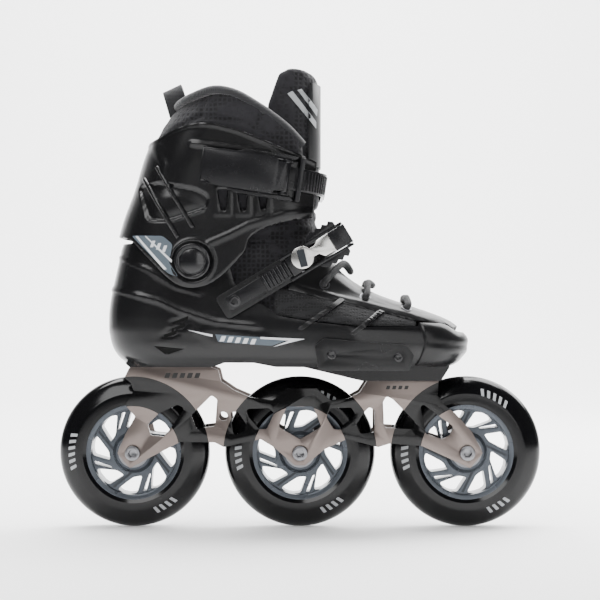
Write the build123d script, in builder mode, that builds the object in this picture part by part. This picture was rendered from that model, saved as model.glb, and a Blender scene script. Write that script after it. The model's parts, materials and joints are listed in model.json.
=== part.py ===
"""Inline skate with three 110 mm wheels: frame, wheels, boot, straps and buckles.

Millimetres. +X points to the toe, +Z up, -Y is the outer side of this right-foot skate.
The origin is on the ground under the middle axle, at the wheels' mid-plane.
"""

import os
from math import cos, radians, sin

from build123d import *

os.makedirs("parts", exist_ok=True)

# ---------------------------------------------------------------- driving dimensions
wheel_diameter = 110.0
axle_spacing = 121.0
tyre_width = 24.0
hub_diameter = 69.0
bearing_outer = 22.0
bearing_width = 7.0
axle_diameter = 8.0
spacer_length = 10.0
wall_inner = 15.5
wall_thickness = 3.0
platform_thickness = 5.0
rear_platform_z = 117.4
front_platform_z = 107.5
mount_bolt_rear_x = -95.0
mount_bolt_front_x = 70.0
floor_z = 126.0
shell_wall = 3.2
cuff_wall = 3.2
cuff_half_width = 43.5
pivot_x = -76.0
pivot_z = 193.0
pivot_sleeve_diameter = 12.0
pivot_cap_diameter = 25.0
pivot_play = 0.05
lace_diameter = 4.2
instep_strap_width = 18.0
top_strap_width = 20.0
top_strap_x = -10.6
top_strap_z = 251.5
top_strap_angle = -9.0
ladder_screw_along = -22.0
gap = 0.3

wheel_radius = wheel_diameter / 2
wheel_x = {"rear": -axle_spacing, "middle": 0.0, "front": axle_spacing}
wall_outer = wall_inner + wall_thickness
bearing_face = spacer_length / 2 + bearing_width
ladder_screw_x = top_strap_x + ladder_screw_along * cos(radians(top_strap_angle))
ladder_screw_z = top_strap_z + ladder_screw_along * sin(radians(top_strap_angle))


def save(part, label):
    """Name a finished piece and write it as its own file."""
    part.label = label
    export_step(part, f"parts/{label}.step")


def side_block(points, radius, y_low, y_high):
    """A slab with a rounded outline drawn in the side view (X, Z)."""
    with BuildPart() as block:
        with BuildSketch(Plane.XZ.offset(-y_low)):
            with BuildLine():
                FilletPolyline(points, radius=radius, close=True)
            make_face()
        extrude(amount=y_high - y_low, dir=(0, 1, 0))
    return block.part


def cross_cylinder(x, z, radius, y_low, y_high):
    """A round bar along Y."""
    with BuildPart() as bar:
        with BuildSketch(Plane.XZ.offset(-y_low)):
            with Locations((x, z)):
                Circle(radius)
        extrude(amount=y_high - y_low, dir=(0, 1, 0))
    return bar.part


def plan_form(slices, grow):
    """A closed boot-like body lofted through rounded plan outlines.

    Each slice is (level, back, waist, front, heel half, waist half, front half).
    A negative grow gives the same body further in, a positive one further out.
    """
    with BuildPart() as form:
        for level, back, waist, front, heel_half, waist_half, front_half in slices:
            lift = grow * min(1.0, (level - slices[0][0]) / 40)
            heel = heel_half + grow
            middle = waist_half + grow
            tip = front_half + grow
            with BuildSketch(Plane.XY.offset(level + lift)):
                with BuildLine():
                    FilletPolyline(
                        (back - grow, -heel),
                        (waist, -middle),
                        (front + grow, -tip),
                        (front + grow, tip),
                        (waist, middle),
                        (back - grow, heel),
                        radius=[0.88 * heel, 50, 0.88 * tip, 0.88 * tip, 50, 0.88 * heel],
                        close=True,
                    )
                make_face()
        loft()
    return form.part


foot_slices = [
    (118.0, -124.0, 42.0, 110.0, 27.0, 41.0, 28.0),
    (124.0, -131.0, 42.0, 116.0, 31.0, 45.0, 33.0),
    (141.0, -138.5, 40.0, 118.5, 34.0, 47.5, 36.0),
    (151.0, -139.0, 34.0, 108.0, 34.5, 46.5, 33.0),
    (160.0, -138.5, 22.0, 85.0, 35.0, 43.5, 28.0),
    (170.0, -137.0, 2.0, 57.0, 35.5, 40.0, 25.0),
    (184.0, -134.0, -12.0, 33.5, 36.0, 37.5, 25.0),
    (202.0, -130.0, -22.0, 22.5, 36.0, 37.0, 25.0),
    (222.0, -126.0, -28.0, 11.5, 36.0, 37.0, 25.0),
]
shaft_slices = [
    (168.0, -140.0, -40.0, 26.0, cuff_half_width - 0.6, cuff_half_width, cuff_half_width - 0.8),
    (200.0, -134.5, -40.0, 26.0, cuff_half_width - 0.6, cuff_half_width, cuff_half_width - 0.8),
    (222.0, -129.0, -38.0, 26.0, cuff_half_width - 0.6, cuff_half_width, cuff_half_width - 0.8),
    (245.0, -120.5, -36.0, 26.0, 43.9, 44.5, 43.7),
    (268.0, -113.5, -34.0, 26.0, 45.8, 46.5, 45.6),
    (292.0, -104.0, -32.0, 26.0, 47.2, 48.0, 47.0),
    (345.0, -84.0, -28.0, 26.0, 48.4, 49.4, 48.2),
]


def hit(form, point, direction):
    """The outermost point, and its normal, where a line leaves a form."""
    line = Axis(point, direction)
    hits = form.shell().find_intersection_points(line)
    return max(hits, key=lambda pair: (pair[0] - Vector(point)).dot(Vector(direction)))


# ---------------------------------------------------------------- frame
plate_top = [
    (-123, 117.4), (-65, 117.4), (-59, 115), (-57, 107), (-47, 100.2), (-36, 95.5), (-20, 93),
    (-9.5, 101.8), (12, 101.8), (22, 93.2), (35, 94.7), (43, 99), (48.5, 107.5), (100.5, 107.5),
    (99.3, 97), (104, 90), (112, 84), (124.5, 70), (132, 55),
]
plate_bottom = [
    (123, 44.2), (88.2, 60.2), (65, 62), (56.5, 59.4), (33.7, 65.2),
    (18, 58), (3.6, 46.2), (-3.6, 46.2), (-19, 59.5), (-28.6, 65.2), (-55, 59.4), (-61.7, 62.8),
    (-86.8, 63.1), (-123, 44.2), (-132, 55), (-126, 69), (-119, 81.5), (-126.8, 90.5),
    (-120, 100), (-122.5, 106), (-127, 109.5),
]
windows = [
    [(-110, 75.9), (-102.3, 83.5), (-88.5, 90), (-83.5, 87.6), (-93, 73.5), (-98.5, 67), (-108, 68)],
    [(-63.8, 97), (-59.8, 93.7), (-61.3, 74.5), (-75, 72.8), (-78.5, 82.5)],
    [(-50.5, 85), (-44.8, 84.8), (-38.8, 76), (-40.5, 70.5), (-48, 68)],
    [(-39, 87), (-22.5, 87.5), (-18.7, 84), (-24, 72.3), (-29.4, 72.3), (-37, 81)],
    [(-9.5, 88.8), (9.5, 88.8), (15.5, 74), (0, 65), (-15.5, 74)],
    [(22, 87.5), (37, 88), (39.6, 84), (37.6, 79), (28.2, 71.8), (24, 72.5), (19, 81)],
    [(50, 88.4), (54, 86.1), (54, 70.3), (43.6, 69), (40.7, 76), (46.3, 84.5)],
    [(60, 92), (62.5, 96.3), (67, 94), (82.8, 78), (81.5, 72.3), (60.8, 73.5)],
    [(86.5, 92.2), (111, 74), (108, 68), (102.5, 65), (90.8, 69)],
]
plate_outline = plate_top + plate_bottom
with BuildPart() as frame:
    for inner_y in (-wall_outer, wall_inner):
        with BuildSketch(Plane.XZ.offset(-inner_y)):
            with BuildLine():
                FilletPolyline(plate_outline, radius=1.6, close=True)
            make_face()
            for window in windows:
                with BuildLine():
                    FilletPolyline(window, radius=1.8, close=True)
                make_face(mode=Mode.SUBTRACT)
        extrude(amount=wall_thickness, dir=(0, 1, 0))
    with Locations((-94, 0, rear_platform_z - platform_thickness / 2)):
        Box(58, 2 * wall_outer, platform_thickness)
    with Locations((69, 0, front_platform_z - platform_thickness / 2)):
        Box(40, 2 * wall_outer, platform_thickness)
    for centre_x in wheel_x.values():
        for side in (-1, 1):
            with BuildSketch(Plane.XZ.offset(-side * (bearing_face + 0.05))):
                with Locations((centre_x, wheel_radius)):
                    Circle(9.0)
            extrude(amount=wall_inner - bearing_face + 0.2, dir=(0, side, 0))
    for bolt_x, face_z in ((mount_bolt_rear_x, rear_platform_z), (mount_bolt_front_x, front_platform_z)):
        with Locations((bolt_x, 0, face_z - platform_thickness / 2)):
            with Locations(Rot(0, 0, 90)):
                Box(12, 6.6, 3 * platform_thickness, mode=Mode.SUBTRACT)
    with BuildSketch(Plane.XZ.offset(-40)):
        with Locations(*[(x, wheel_radius) for x in wheel_x.values()]):
            Circle(axle_diameter / 2 + 0.05)
        with Locations((-55.5, 81.7)):
            Circle(3.3)
    extrude(amount=80, dir=(0, -1, 0), mode=Mode.SUBTRACT)
save(frame.part, "frame")

with BuildPart() as axles:
    for centre_x in wheel_x.values():
        with BuildSketch(Plane.XZ.offset(wall_outer + 0.02)):
            with Locations((centre_x, wheel_radius)):
                Circle(5.4)
        extrude(amount=2.2, dir=(0, -1, 0))
        with BuildSketch(Plane.XZ.offset(wall_outer + 0.02)):
            with Locations((centre_x, wheel_radius)):
                Circle(axle_diameter / 2 - 0.02)
        extrude(amount=2 * wall_outer + 1.5, dir=(0, 1, 0))
        with BuildSketch(Plane.XZ.offset(wall_outer + 2.22)):
            with Locations((centre_x, wheel_radius)):
                RegularPolygon(2.9, 6)
        extrude(amount=4, dir=(0, 1, 0), mode=Mode.SUBTRACT)
save(axles.part, "axles")

with BuildPart() as axle_spacers:
    for centre_x in wheel_x.values():
        with BuildSketch(Plane.XZ.offset(-spacer_length / 2 + 0.02)):
            with Locations((centre_x, wheel_radius)):
                Circle(5.6)
                Circle(axle_diameter / 2 + 0.03, mode=Mode.SUBTRACT)
        extrude(amount=spacer_length - 0.04, dir=(0, -1, 0))
save(axle_spacers.part, "axle_spacers")

with BuildPart() as bearing_inner_races:
    for centre_x in wheel_x.values():
        for side in (-1, 1):
            with BuildSketch(Plane.XZ.offset(-side * spacer_length / 2)):
                with Locations((centre_x, wheel_radius)):
                    Circle(6.1)
                    Circle(axle_diameter / 2 + 0.01, mode=Mode.SUBTRACT)
            extrude(amount=bearing_width, dir=(0, side, 0))
save(bearing_inner_races.part, "bearing_inner_races")

# ---------------------------------------------------------------- wheels
hub_radius = hub_diameter / 2
rim_inner = hub_radius - 3.5
boss_radius = bearing_outer / 2 + 2.3


def polar(radius, angle):
    """A point of the wheel's side view, from its centre."""
    return (radius * cos(radians(angle)), radius * sin(radians(angle)))


def wheel_window(angle):
    """One rounded D-shaped window between two spokes."""
    corners = [(17.2, -13), (30.2, -18), (31.4, 0), (30.2, 18), (17.2, 13)]
    return [polar(radius, angle + turn) for radius, turn in corners]


def wheel_parts(name, centre_x, turn):
    """Tyre, hub, bearing outer races and balls of one wheel."""
    with BuildPart() as tyre:
        with BuildSketch(Plane.XY):
            with BuildLine():
                Line((hub_radius + 0.02, -10.6), (hub_radius + 0.02, 10.6))
                Line((hub_radius + 0.02, 10.6), (37, tyre_width / 2))
                Spline(
                    (37, tyre_width / 2),
                    (44, 11.2),
                    (51.5, 6.9),
                    (wheel_radius, 0),
                    (51.5, -6.9),
                    (44, -11.2),
                    (37, -tyre_width / 2),
                    tangents=[(1, 0), (-1, 0)],
                )
                Line((37, -tyre_width / 2), (hub_radius + 0.02, -10.6))
            make_face()
        revolve(axis=Axis.Y)
    with BuildPart() as hub:
        with BuildSketch(Plane.XZ.offset(-10.5)):
            Circle(hub_radius)
            Circle(rim_inner, mode=Mode.SUBTRACT)
        extrude(amount=21, dir=(0, -1, 0))
        with BuildSketch(Plane.XZ.offset(-bearing_face + 0.1)):
            Circle(boss_radius)
        extrude(amount=2 * bearing_face - 0.2, dir=(0, -1, 0))
        with BuildSketch(Plane.XZ.offset(-8)):
            Circle(rim_inner + 0.5)
            for quarter in range(4):
                start = turn + 90 * quarter
                for offset in (-24, 24):
                    with BuildLine():
                        FilletPolyline(wheel_window(start + offset), radius=2.2, close=True)
                    make_face(mode=Mode.SUBTRACT)
                with Locations(polar(24.2, start)):
                    SlotOverall(12.6, 2.4, rotation=start + 14, mode=Mode.SUBTRACT)
        extrude(amount=16, dir=(0, -1, 0))
        for side in (-1, 1):
            with BuildSketch(Plane.XZ.offset(-side * 8)):
                for quarter in range(4):
                    with Locations(polar(23.5, turn + 67 + 90 * quarter)):
                        SlotOverall(9, 3.2, rotation=turn + 82 + 90 * quarter)
            extrude(amount=2.5, dir=(0, -side, 0), mode=Mode.SUBTRACT)
        with BuildSketch(Plane.XZ.offset(-20)):
            Circle(bearing_outer / 2 - 1.0)
        extrude(amount=40, dir=(0, -1, 0), mode=Mode.SUBTRACT)
        for side in (-1, 1):
            with BuildSketch(Plane.XZ.offset(-side * spacer_length / 2)):
                Circle(bearing_outer / 2 + 0.02)
            extrude(amount=20, dir=(0, side, 0), mode=Mode.SUBTRACT)
    with BuildPart() as races:
        for side in (-1, 1):
            with BuildSketch(Plane.XZ.offset(-side * spacer_length / 2)):
                Circle(bearing_outer / 2)
                Circle(9.5, mode=Mode.SUBTRACT)
            extrude(amount=bearing_width, dir=(0, side, 0))
            with BuildSketch(Plane.XZ.offset(-side * (bearing_face - 0.8))):
                Circle(9.6)
                Circle(6.3, mode=Mode.SUBTRACT)
            extrude(amount=0.6, dir=(0, side, 0))
    with BuildPart() as balls:
        for side in (-1, 1):
            for step in range(7):
                x, z = polar(7.8, step * 360 / 7)
                with Locations((x, side * (spacer_length + bearing_width) / 2, z)):
                    Sphere(1.65)
    place = Pos(centre_x, 0, wheel_radius)
    save(place * tyre.part, f"{name}_tyre")
    save(place * hub.part, f"{name}_hub")
    save(place * races.part, f"{name}_bearing_races")
    save(place * balls.part, f"{name}_bearing_balls")


wheel_parts("rear", wheel_x["rear"], 15)
wheel_parts("middle", wheel_x["middle"], 11)
wheel_parts("front", wheel_x["front"], 40)

# ---------------------------------------------------------------- mounting hardware
mount_points = [(mount_bolt_rear_x, rear_platform_z), (mount_bolt_front_x, front_platform_z)]
with BuildPart() as mount_bolts:
    for bolt_x, face_z in mount_points:
        under = face_z - platform_thickness - 1.0
        with Locations((bolt_x, 0, under - 3.0 / 2)):
            Cylinder(5.0, 3.0)
        with Locations((bolt_x, 0, under)):
            Cylinder(2.95, 14, align=(Align.CENTER, Align.CENTER, Align.MIN))
        with BuildSketch(Plane.XY.offset(under - 3.0)):
            with Locations((bolt_x, 0)):
                RegularPolygon(2.3, 6)
        extrude(amount=2.0, mode=Mode.SUBTRACT)
save(mount_bolts.part, "mount_bolts")

with BuildPart() as mount_washers:
    for bolt_x, face_z in mount_points:
        with BuildSketch(Plane.XY.offset(face_z - platform_thickness - 0.98)):
            with Locations((bolt_x, 0)):
                Circle(7.0)
                Circle(3.1, mode=Mode.SUBTRACT)
        extrude(amount=0.96)
save(mount_washers.part, "mount_washers")

with BuildPart() as mount_inserts:
    for bolt_x, face_z in mount_points:
        with BuildSketch(Plane.XY.offset(face_z + 0.02)):
            with Locations((bolt_x, 0)):
                Circle(6.0)
                Circle(3.0, mode=Mode.SUBTRACT)
        extrude(amount=7.9)
save(mount_inserts.part, "mount_inserts")

# ---------------------------------------------------------------- boot shell
foot_outer = plan_form(foot_slices, 0.0)
foot_shell_inner = plan_form(foot_slices, -shell_wall)
foot_liner_outer = plan_form(foot_slices, -shell_wall - 0.5)
foot_liner_inner = plan_form(foot_slices, -shell_wall - 5.5)
foot_over = plan_form(foot_slices, 1.5)
foot_skin = plan_form(foot_slices, -0.8)
below_floor = side_block([(-200, 90), (200, 90), (200, floor_z), (-200, floor_z)], 1, -80, 80)

shell_top = [
    (-150, 192), (-128, 206), (-96, 207), (-58, 209), (-52, 196), (-46, 176), (-15, 154.5),
    (11, 150), (41, 146.7), (83, 147), (88, 150), (102, 148.6), (113, 142), (130, 142),
]
shell_region = side_block(shell_top + [(130, 100), (-150, 100)], 1, -80, 80)
rear_block = side_block([(-123, 117.4), (-64, 117.4), (-60, 121), (-127, 121)], 0.8, -21, 21)
front_block = side_block(
    [(2, 117.6), (44.4, 107.5), (101.4, 107.5), (107.5, 117), (107.5, 121), (2, 121)], 0.8, -23, 23
)
arch = side_block([(-63, 110), (-62, 118), (-49.5, 122.5), (-42, 122.8), (-12, 117), (-11, 110)], 1, -80, 80)
screw_points = [(22.2, 127.2), (69.0, 125.4)]
slider_outline = [(10.3, 133.5), (17, 138.8), (74, 134), (80, 127), (77, 116), (13, 116)]
heel_vents = [
    [(-91, 151.5), (-79, 155), (-80, 151.5), (-91, 148)],
    [(-91, 146.5), (-80.5, 150), (-82, 146.5), (-91.5, 143)],
    [(-97, 142), (-86.5, 145), (-88, 141.5), (-96.5, 138.5)],
]
heel_recess = [(-104, 133), (-82, 131), (-95, 126.5)]
pivot = (pivot_x, pivot_z)
instep_anchor = (-46.0, 165.0)

recess_cut = [side_block(outline, 1.0, -60, 60) for outline in heel_vents]
recess_cut.append(side_block(heel_recess, 1.0, -60, 60))
foot_groove = plan_form(foot_slices, -1.2)
with BuildPart() as cavity:
    add(foot_shell_inner)
    add(below_floor, mode=Mode.SUBTRACT)
with BuildPart() as recesses:
    add(recess_cut)
    add(foot_groove, mode=Mode.SUBTRACT)
with BuildPart() as shell:
    add(foot_outer)
    add(cavity.part, mode=Mode.SUBTRACT)
    add(recesses.part, mode=Mode.SUBTRACT)
    add(shell_region, mode=Mode.INTERSECT)
    add(arch, mode=Mode.SUBTRACT)
    add(rear_block)
    add(front_block)
    for side in (-1, 1):
        with BuildSketch(Plane.XZ.offset(-side * 34)):
            with Locations(pivot):
                Circle(15)
        extrude(amount=5.6, dir=(0, side, 0))
        with BuildSketch(Plane.XZ.offset(-side * 30)):
            with Locations(pivot):
                Circle(pivot_sleeve_diameter / 2 - 2 + 0.02)
        extrude(amount=20, dir=(0, side, 0), mode=Mode.SUBTRACT)
        with BuildSketch(Plane.XZ.offset(-side * 42)):
            with Locations(*screw_points):
                Circle(1.62)
        extrude(amount=12, dir=(0, side, 0), mode=Mode.SUBTRACT)
    for side in (-1, 1):
        with BuildSketch(Plane.XZ.offset(-side * 30)):
            with Locations(instep_anchor):
                Circle(2.05)
        extrude(amount=20, dir=(0, side, 0), mode=Mode.SUBTRACT)
    for bolt_x, face_z in mount_points:
        with Locations((bolt_x, 0, face_z - 1)):
            Cylinder(6.02, 9, align=(Align.CENTER, Align.CENTER, Align.MIN), mode=Mode.SUBTRACT)
save(shell.part, "shell")

# ---------------------------------------------------------------- vamp, vents, toe and sliders
throat_half = 15.0
vamp_region = side_block(
    [
        (-8, 173.2), (24, 165.6), (48.5, 160), (83, 151.5), (88, 151.3), (103, 149.6), (113, 143),
        (135, 143), (135, 200), (14, 200), (-8, 182),
    ],
    1, -80, 80,
)
throat = side_block([(12, 150), (78, 150), (83, 158), (83, 230), (12, 230)], 2, -throat_half, throat_half)
with BuildPart() as vamp_body:
    add(foot_outer)
    add(plan_form(foot_slices, -2.6), mode=Mode.SUBTRACT)
    add(vamp_region, mode=Mode.INTERSECT)
    add(throat, mode=Mode.SUBTRACT)

vent_region = side_block(
    [
        (-18, 155.8), (11, 151.2), (41, 147.9), (82, 148), (82, 150.6), (48, 158.6), (-8, 171.5), (-18, 173),
    ],
    1, -80, 80,
)
with BuildPart() as vent_mesh:
    add(foot_skin)
    add(plan_form(foot_slices, -1.9), mode=Mode.SUBTRACT)
    add(vent_region, mode=Mode.INTERSECT)
save(vent_mesh.part, "vent_mesh")

rib_bars = [
    side_block([(28.6, 167), (32, 165.5), (1, 144), (-2.2, 145.4)], 0.8, -80, 80),
    side_block([(56.6, 158.8), (60, 157.3), (38.2, 140.6), (34.8, 142.2)], 0.8, -80, 80),
]
with BuildPart() as vamp_ribs:
    add(foot_over)
    add(plan_form(foot_slices, 0.04), mode=Mode.SUBTRACT)
    add(rib_bars, mode=Mode.INTERSECT)
save(vamp_ribs.part, "vamp_ribs")

bumper_region = side_block(
    [(82, 119.5), (80.5, 128), (84, 149.5), (102, 148.4), (113, 141.6), (140, 141.6), (140, 119.5)], 1, -80, 80
)
with BuildPart() as toe_bumper:
    add(foot_over)
    add(plan_form(foot_slices, 0.04), mode=Mode.SUBTRACT)
    add(bumper_region, mode=Mode.INTERSECT)
save(toe_bumper.part, "toe_bumper")

clear_of_shell = plan_form(foot_slices, 0.04)
for name, side in (("slider_outer", -1), ("slider_inner", 1)):
    with BuildPart() as slider:
        add(side_block(slider_outline, 3, min(side * 51.5, side * 30), max(side * 51.5, side * 30)))
        add(clear_of_shell, mode=Mode.SUBTRACT)
        with BuildSketch(Plane.XZ.offset(-side * 30)):
            with Locations(*screw_points):
                Circle(1.65)
        extrude(amount=30, dir=(0, side, 0), mode=Mode.SUBTRACT)
    save(slider.part, name)
with BuildPart() as slider_screws:
    for side in (-1, 1):
        with BuildSketch(Plane.XZ.offset(-side * 51.52)):
            with Locations(*screw_points):
                Circle(3.1)
        extrude(amount=1.3, dir=(0, side, 0))
        with BuildSketch(Plane.XZ.offset(-side * 43)):
            with Locations(*screw_points):
                Circle(1.6)
        extrude(amount=9, dir=(0, side, 0))
        with BuildSketch(Plane.XZ.offset(-side * 52.2)):
            with Locations(*screw_points):
                RegularPolygon(1.5, 6)
        extrude(amount=2, dir=(0, side, 0), mode=Mode.SUBTRACT)
save(slider_screws.part, "slider_screws")

# ---------------------------------------------------------------- eyelets and lace
lace_rows = [(75.9, 159.4, 77.0, 78.0), (46.4, 167.1, 49.0, 53.0), (17.4, 176.6, 31.0, 37.0)]
over_form = plan_form(foot_slices, 3.0)
eyelet_places = []
for eyelet_x, eyelet_z, shoulder_x, crown_x in lace_rows:
    for side in (-1, 1):
        point, normal = hit(foot_outer, (eyelet_x, 0, eyelet_z), (0, side, 0))
        eyelet_places.append((side, Vector(point), Vector(normal)))


def eyelet_cylinder(place, radius, inward, outward):
    """A cylinder through one eyelet, square to the vamp."""
    side, point, normal = place
    with BuildPart() as body:
        with BuildSketch(Plane(origin=point - normal * inward, z_dir=normal)):
            Circle(radius)
        extrude(amount=inward + outward)
    return body.part


def lace_route():
    """Centre line of the lace: straight bars outside, side runs under the vamp."""
    route = []
    for row, (eyelet_x, eyelet_z, shoulder_x, crown_x) in enumerate(lace_rows):
        order = (-1, 1) if row % 2 == 0 else (1, -1)
        ends = {place[0]: place for place in eyelet_places[2 * row:2 * row + 2]}
        rise = []
        for spot_x, spot_y in ((shoulder_x, 17.0), (crown_x, 0.0)):
            rise.append(Vector(hit(over_form, (spot_x, spot_y, 130), (0, 0, 1))[0]))
        shoulder, crown = rise
        first, last = ends[order[0]], ends[order[1]]
        route.append(first[1] - first[2] * 5.4)
        route.append(first[1] + first[2] * 3.4)
        route.append(Vector(shoulder.X, order[0] * shoulder.Y, shoulder.Z))
        route.append(crown)
        route.append(Vector(shoulder.X, order[1] * shoulder.Y, shoulder.Z))
        route.append(last[1] + last[2] * 3.4)
        route.append(last[1] - last[2] * 5.4)
    return route


def lace_tube(radius):
    """The lace as one round cord along its route."""
    with BuildPart() as tube:
        with BuildLine() as path:
            FilletPolyline(lace_route(), radius=2.4)
        with BuildSketch(Plane(origin=path.line @ 0, z_dir=path.line % 0)):
            Circle(radius)
        sweep(path=path.line)
    return tube.part


lace = lace_tube(lace_diameter / 2)
lace_room = lace_tube(lace_diameter / 2 + 0.35)
save(lace, "lace")

with BuildPart() as eyelets:
    for place in eyelet_places:
        add(eyelet_cylinder(place, 4.0, 2.7, 0.9))
    for place in eyelet_places:
        add(eyelet_cylinder(place, 2.75, 6, 6), mode=Mode.SUBTRACT)
    add(lace_room, mode=Mode.SUBTRACT)
save(eyelets.part, "eyelets")

with BuildPart() as vamp:
    add(vamp_body.part)
    for place in eyelet_places:
        add(eyelet_cylinder(place, 4.03, 8, 3), mode=Mode.SUBTRACT)
    add(lace_room, mode=Mode.SUBTRACT)
save(vamp.part, "vamp")

# ---------------------------------------------------------------- liner, tongue and footbed
floor_slab = side_block([(-200, floor_z + gap), (200, floor_z + gap), (200, 209), (-200, 209)], 0.5, -80, 80)
tongue_room = side_block([(-6, 230), (-6, 150), (60, 138), (95, 138), (95, 230)], 1, -20.4, 20.4)
with BuildPart() as liner_foot:
    add(foot_liner_outer)
    add(foot_liner_inner, mode=Mode.SUBTRACT)
    add(floor_slab, mode=Mode.INTERSECT)
    add(tongue_room, mode=Mode.SUBTRACT)
    add(lace_room, mode=Mode.SUBTRACT)
    for y_low, y_high in ((-50, -25), (25, 50)):
        for spot in (pivot, instep_anchor):
            add(cross_cylinder(*spot, 4.6, y_low, y_high), mode=Mode.SUBTRACT)
save(liner_foot.part, "liner_foot")

with BuildPart() as footbed:
    add(plan_form(foot_slices, -shell_wall - 6.2))
    add(side_block([(-200, 126.3), (200, 126.3), (200, 130), (-200, 130)], 0.5, -80, 80), mode=Mode.INTERSECT)
save(footbed.part, "footbed")

tongue_low_region = side_block(
    [(-3, 208.5), (-3, 172), (40, 158), (84, 147), (90, 149), (84, 175), (40, 208.5)], 1, -19.8, 19.8
)
with BuildPart() as tongue_lower:
    add(plan_form(foot_slices, -3.1))
    add(plan_form(foot_slices, -9.5), mode=Mode.SUBTRACT)
    add(tongue_low_region, mode=Mode.INTERSECT)
    add(lace_room, mode=Mode.SUBTRACT)
save(tongue_lower.part, "tongue_lower")


def shin_band(front, half, thickness, radius, z_low, z_high):
    """An upright band that wraps the front of the shin, open at the back."""
    with BuildPart() as band:
        with BuildSketch(Plane.XY.offset(z_low)):
            with BuildLine():
                FilletPolyline((-26, -half), (front, -half), (front, half), (-26, half), radius=radius, close=False)
                Line((-26, half), (-26, -half))
            make_face()
            with BuildLine():
                inner_half = half - thickness
                inner_front = front - thickness
                FilletPolyline(
                    (-27, -inner_half), (inner_front, -inner_half), (inner_front, inner_half), (-27, inner_half),
                    radius=radius - thickness,
                )
                Line((-27, inner_half), (-27, -inner_half))
            make_face(mode=Mode.SUBTRACT)
        extrude(amount=z_high - z_low)
    return band.part


tongue_front = 13.5
with BuildPart() as tongue_upper:
    add(shin_band(tongue_front, 31.4, 8, 24, 229, 334))
    add(
        side_block(
            [(-14, 231), (16, 232), (16, 318), (10, 328), (4, 331), (-6, 332.3), (-15, 328), (-23, 305), (-23, 250)],
            3, -60, 60,
        ),
        mode=Mode.INTERSECT,
    )
save(tongue_upper.part, "tongue_upper")

with BuildPart() as tongue_shield:
    add(shin_band(tongue_front + 1.7, 33.1, 1.4, 25.7, 240, 330))
    add(side_block([(6, 262), (20, 262), (20, 320), (9, 322), (6, 318)], 1, -60, 60), mode=Mode.INTERSECT)
save(tongue_shield.part, "tongue_shield")

collar_region = side_block(
    [
        (-138, 215), (-100, 215), (1.5, 232), (2, 262), (2.5, 279), (-8, 290), (-24.5, 303), (-45, 315), (-61, 318.5),
        (-80, 312.5), (-96, 305), (-108, 293), (-138, 280),
    ],
    2, -80, 80,
)
with BuildPart() as liner_collar:
    add(plan_form(shaft_slices, -cuff_wall - 0.4))
    add(plan_form(shaft_slices, -cuff_wall - 7.4), mode=Mode.SUBTRACT)
    add(collar_region, mode=Mode.INTERSECT)
save(liner_collar.part, "liner_collar")

tab_plane = Plane(origin=(-91, 0, 309), x_dir=(0, 1, 0), z_dir=(cos(radians(14)), 0, sin(radians(14))))
with BuildPart() as pull_tab:
    with BuildSketch(tab_plane.offset(-7.5)):
        with BuildLine():
            FilletPolyline((-9.5, 0), (-9.5, 13), (9.5, 13), (9.5, 0), radius=5)
            Line((9.5, 0), (-9.5, 0))
        make_face()
        with BuildLine():
            FilletPolyline((-8, -1), (-8, 11.5), (8, 11.5), (8, -1), radius=3.5)
            Line((8, -1), (-8, -1))
        make_face(mode=Mode.SUBTRACT)
    extrude(amount=15)
save(pull_tab.part, "pull_tab")

# ---------------------------------------------------------------- cuff and ankle pivots
cuff_region = side_block(
    [
        (-122, 273), (-113, 277.5), (-101, 281), (-88, 287), (-75, 290.5), (-61.5, 290.5), (-43.7, 286),
        (-10.5, 272.5), (11.5, 263.7), (9.5, 224), (-10.5, 221.5), (-26, 216.5), (-36.5, 209.5), (-38.5, 200),
        (-54.6, 183.5), (-64, 176.5), (-77, 173.8), (-86.5, 176), (-94, 181.5), (-121, 209), (-142, 212.5),
        (-142, 273),
    ],
    1.5, -80, 80,
)
slot_centres = [(-54.2, 235.7), (-40.2, 235.7), (-26.0, 235.7)]
cuff_outer = plan_form(shaft_slices, 0.0)
with BuildPart() as cuff:
    add(cuff_outer)
    add(plan_form(shaft_slices, -cuff_wall), mode=Mode.SUBTRACT)
    add(cuff_region, mode=Mode.INTERSECT)
    with BuildSketch(Plane.XZ.offset(-80)):
        with Locations(pivot):
            Circle(pivot_sleeve_diameter / 2 + pivot_play)
        with Locations(*slot_centres):
            SlotOverall(13.5, 5.2, rotation=90)
    extrude(amount=160, dir=(0, -1, 0), mode=Mode.SUBTRACT)
    with BuildSketch(Plane.XZ.offset(-80)):
        with Locations((ladder_screw_x, ladder_screw_z)):
            Circle(1.55)
    extrude(amount=60, dir=(0, -1, 0), mode=Mode.SUBTRACT)
save(cuff.part, "cuff")

with BuildPart() as pivot_bolts:
    for side in (-1, 1):
        for radius, near, far in (
            (pivot_sleeve_diameter / 2 - 2, 33.0, 39.7),
            (pivot_sleeve_diameter / 2, 39.7, cuff_half_width + gap),
            (pivot_cap_diameter / 2, cuff_half_width + gap, cuff_half_width + gap + 2.4),
        ):
            with BuildSketch(Plane.XZ.offset(-side * near)):
                with Locations(pivot):
                    Circle(radius)
            extrude(amount=far - near, dir=(0, side, 0))
        with BuildSketch(Plane.XZ.offset(-side * (cuff_half_width + gap + 1.2))):
            with Locations(pivot):
                Circle(pivot_cap_diameter / 2 - 2)
                Circle(pivot_cap_diameter / 2 - 4, mode=Mode.SUBTRACT)
        extrude(amount=3, dir=(0, side, 0), mode=Mode.SUBTRACT)
save(pivot_bolts.part, "pivot_bolts")


# ---------------------------------------------------------------- straps and buckles
def strap_frame(origin, elevation):
    """Plane whose local x runs along a strap, local y across the boot and normal across the strap."""
    along = (cos(radians(elevation)), 0, sin(radians(elevation)))
    across = (-sin(radians(elevation)), 0, cos(radians(elevation)))
    return Plane(origin=origin, x_dir=along, z_dir=across)


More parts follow.
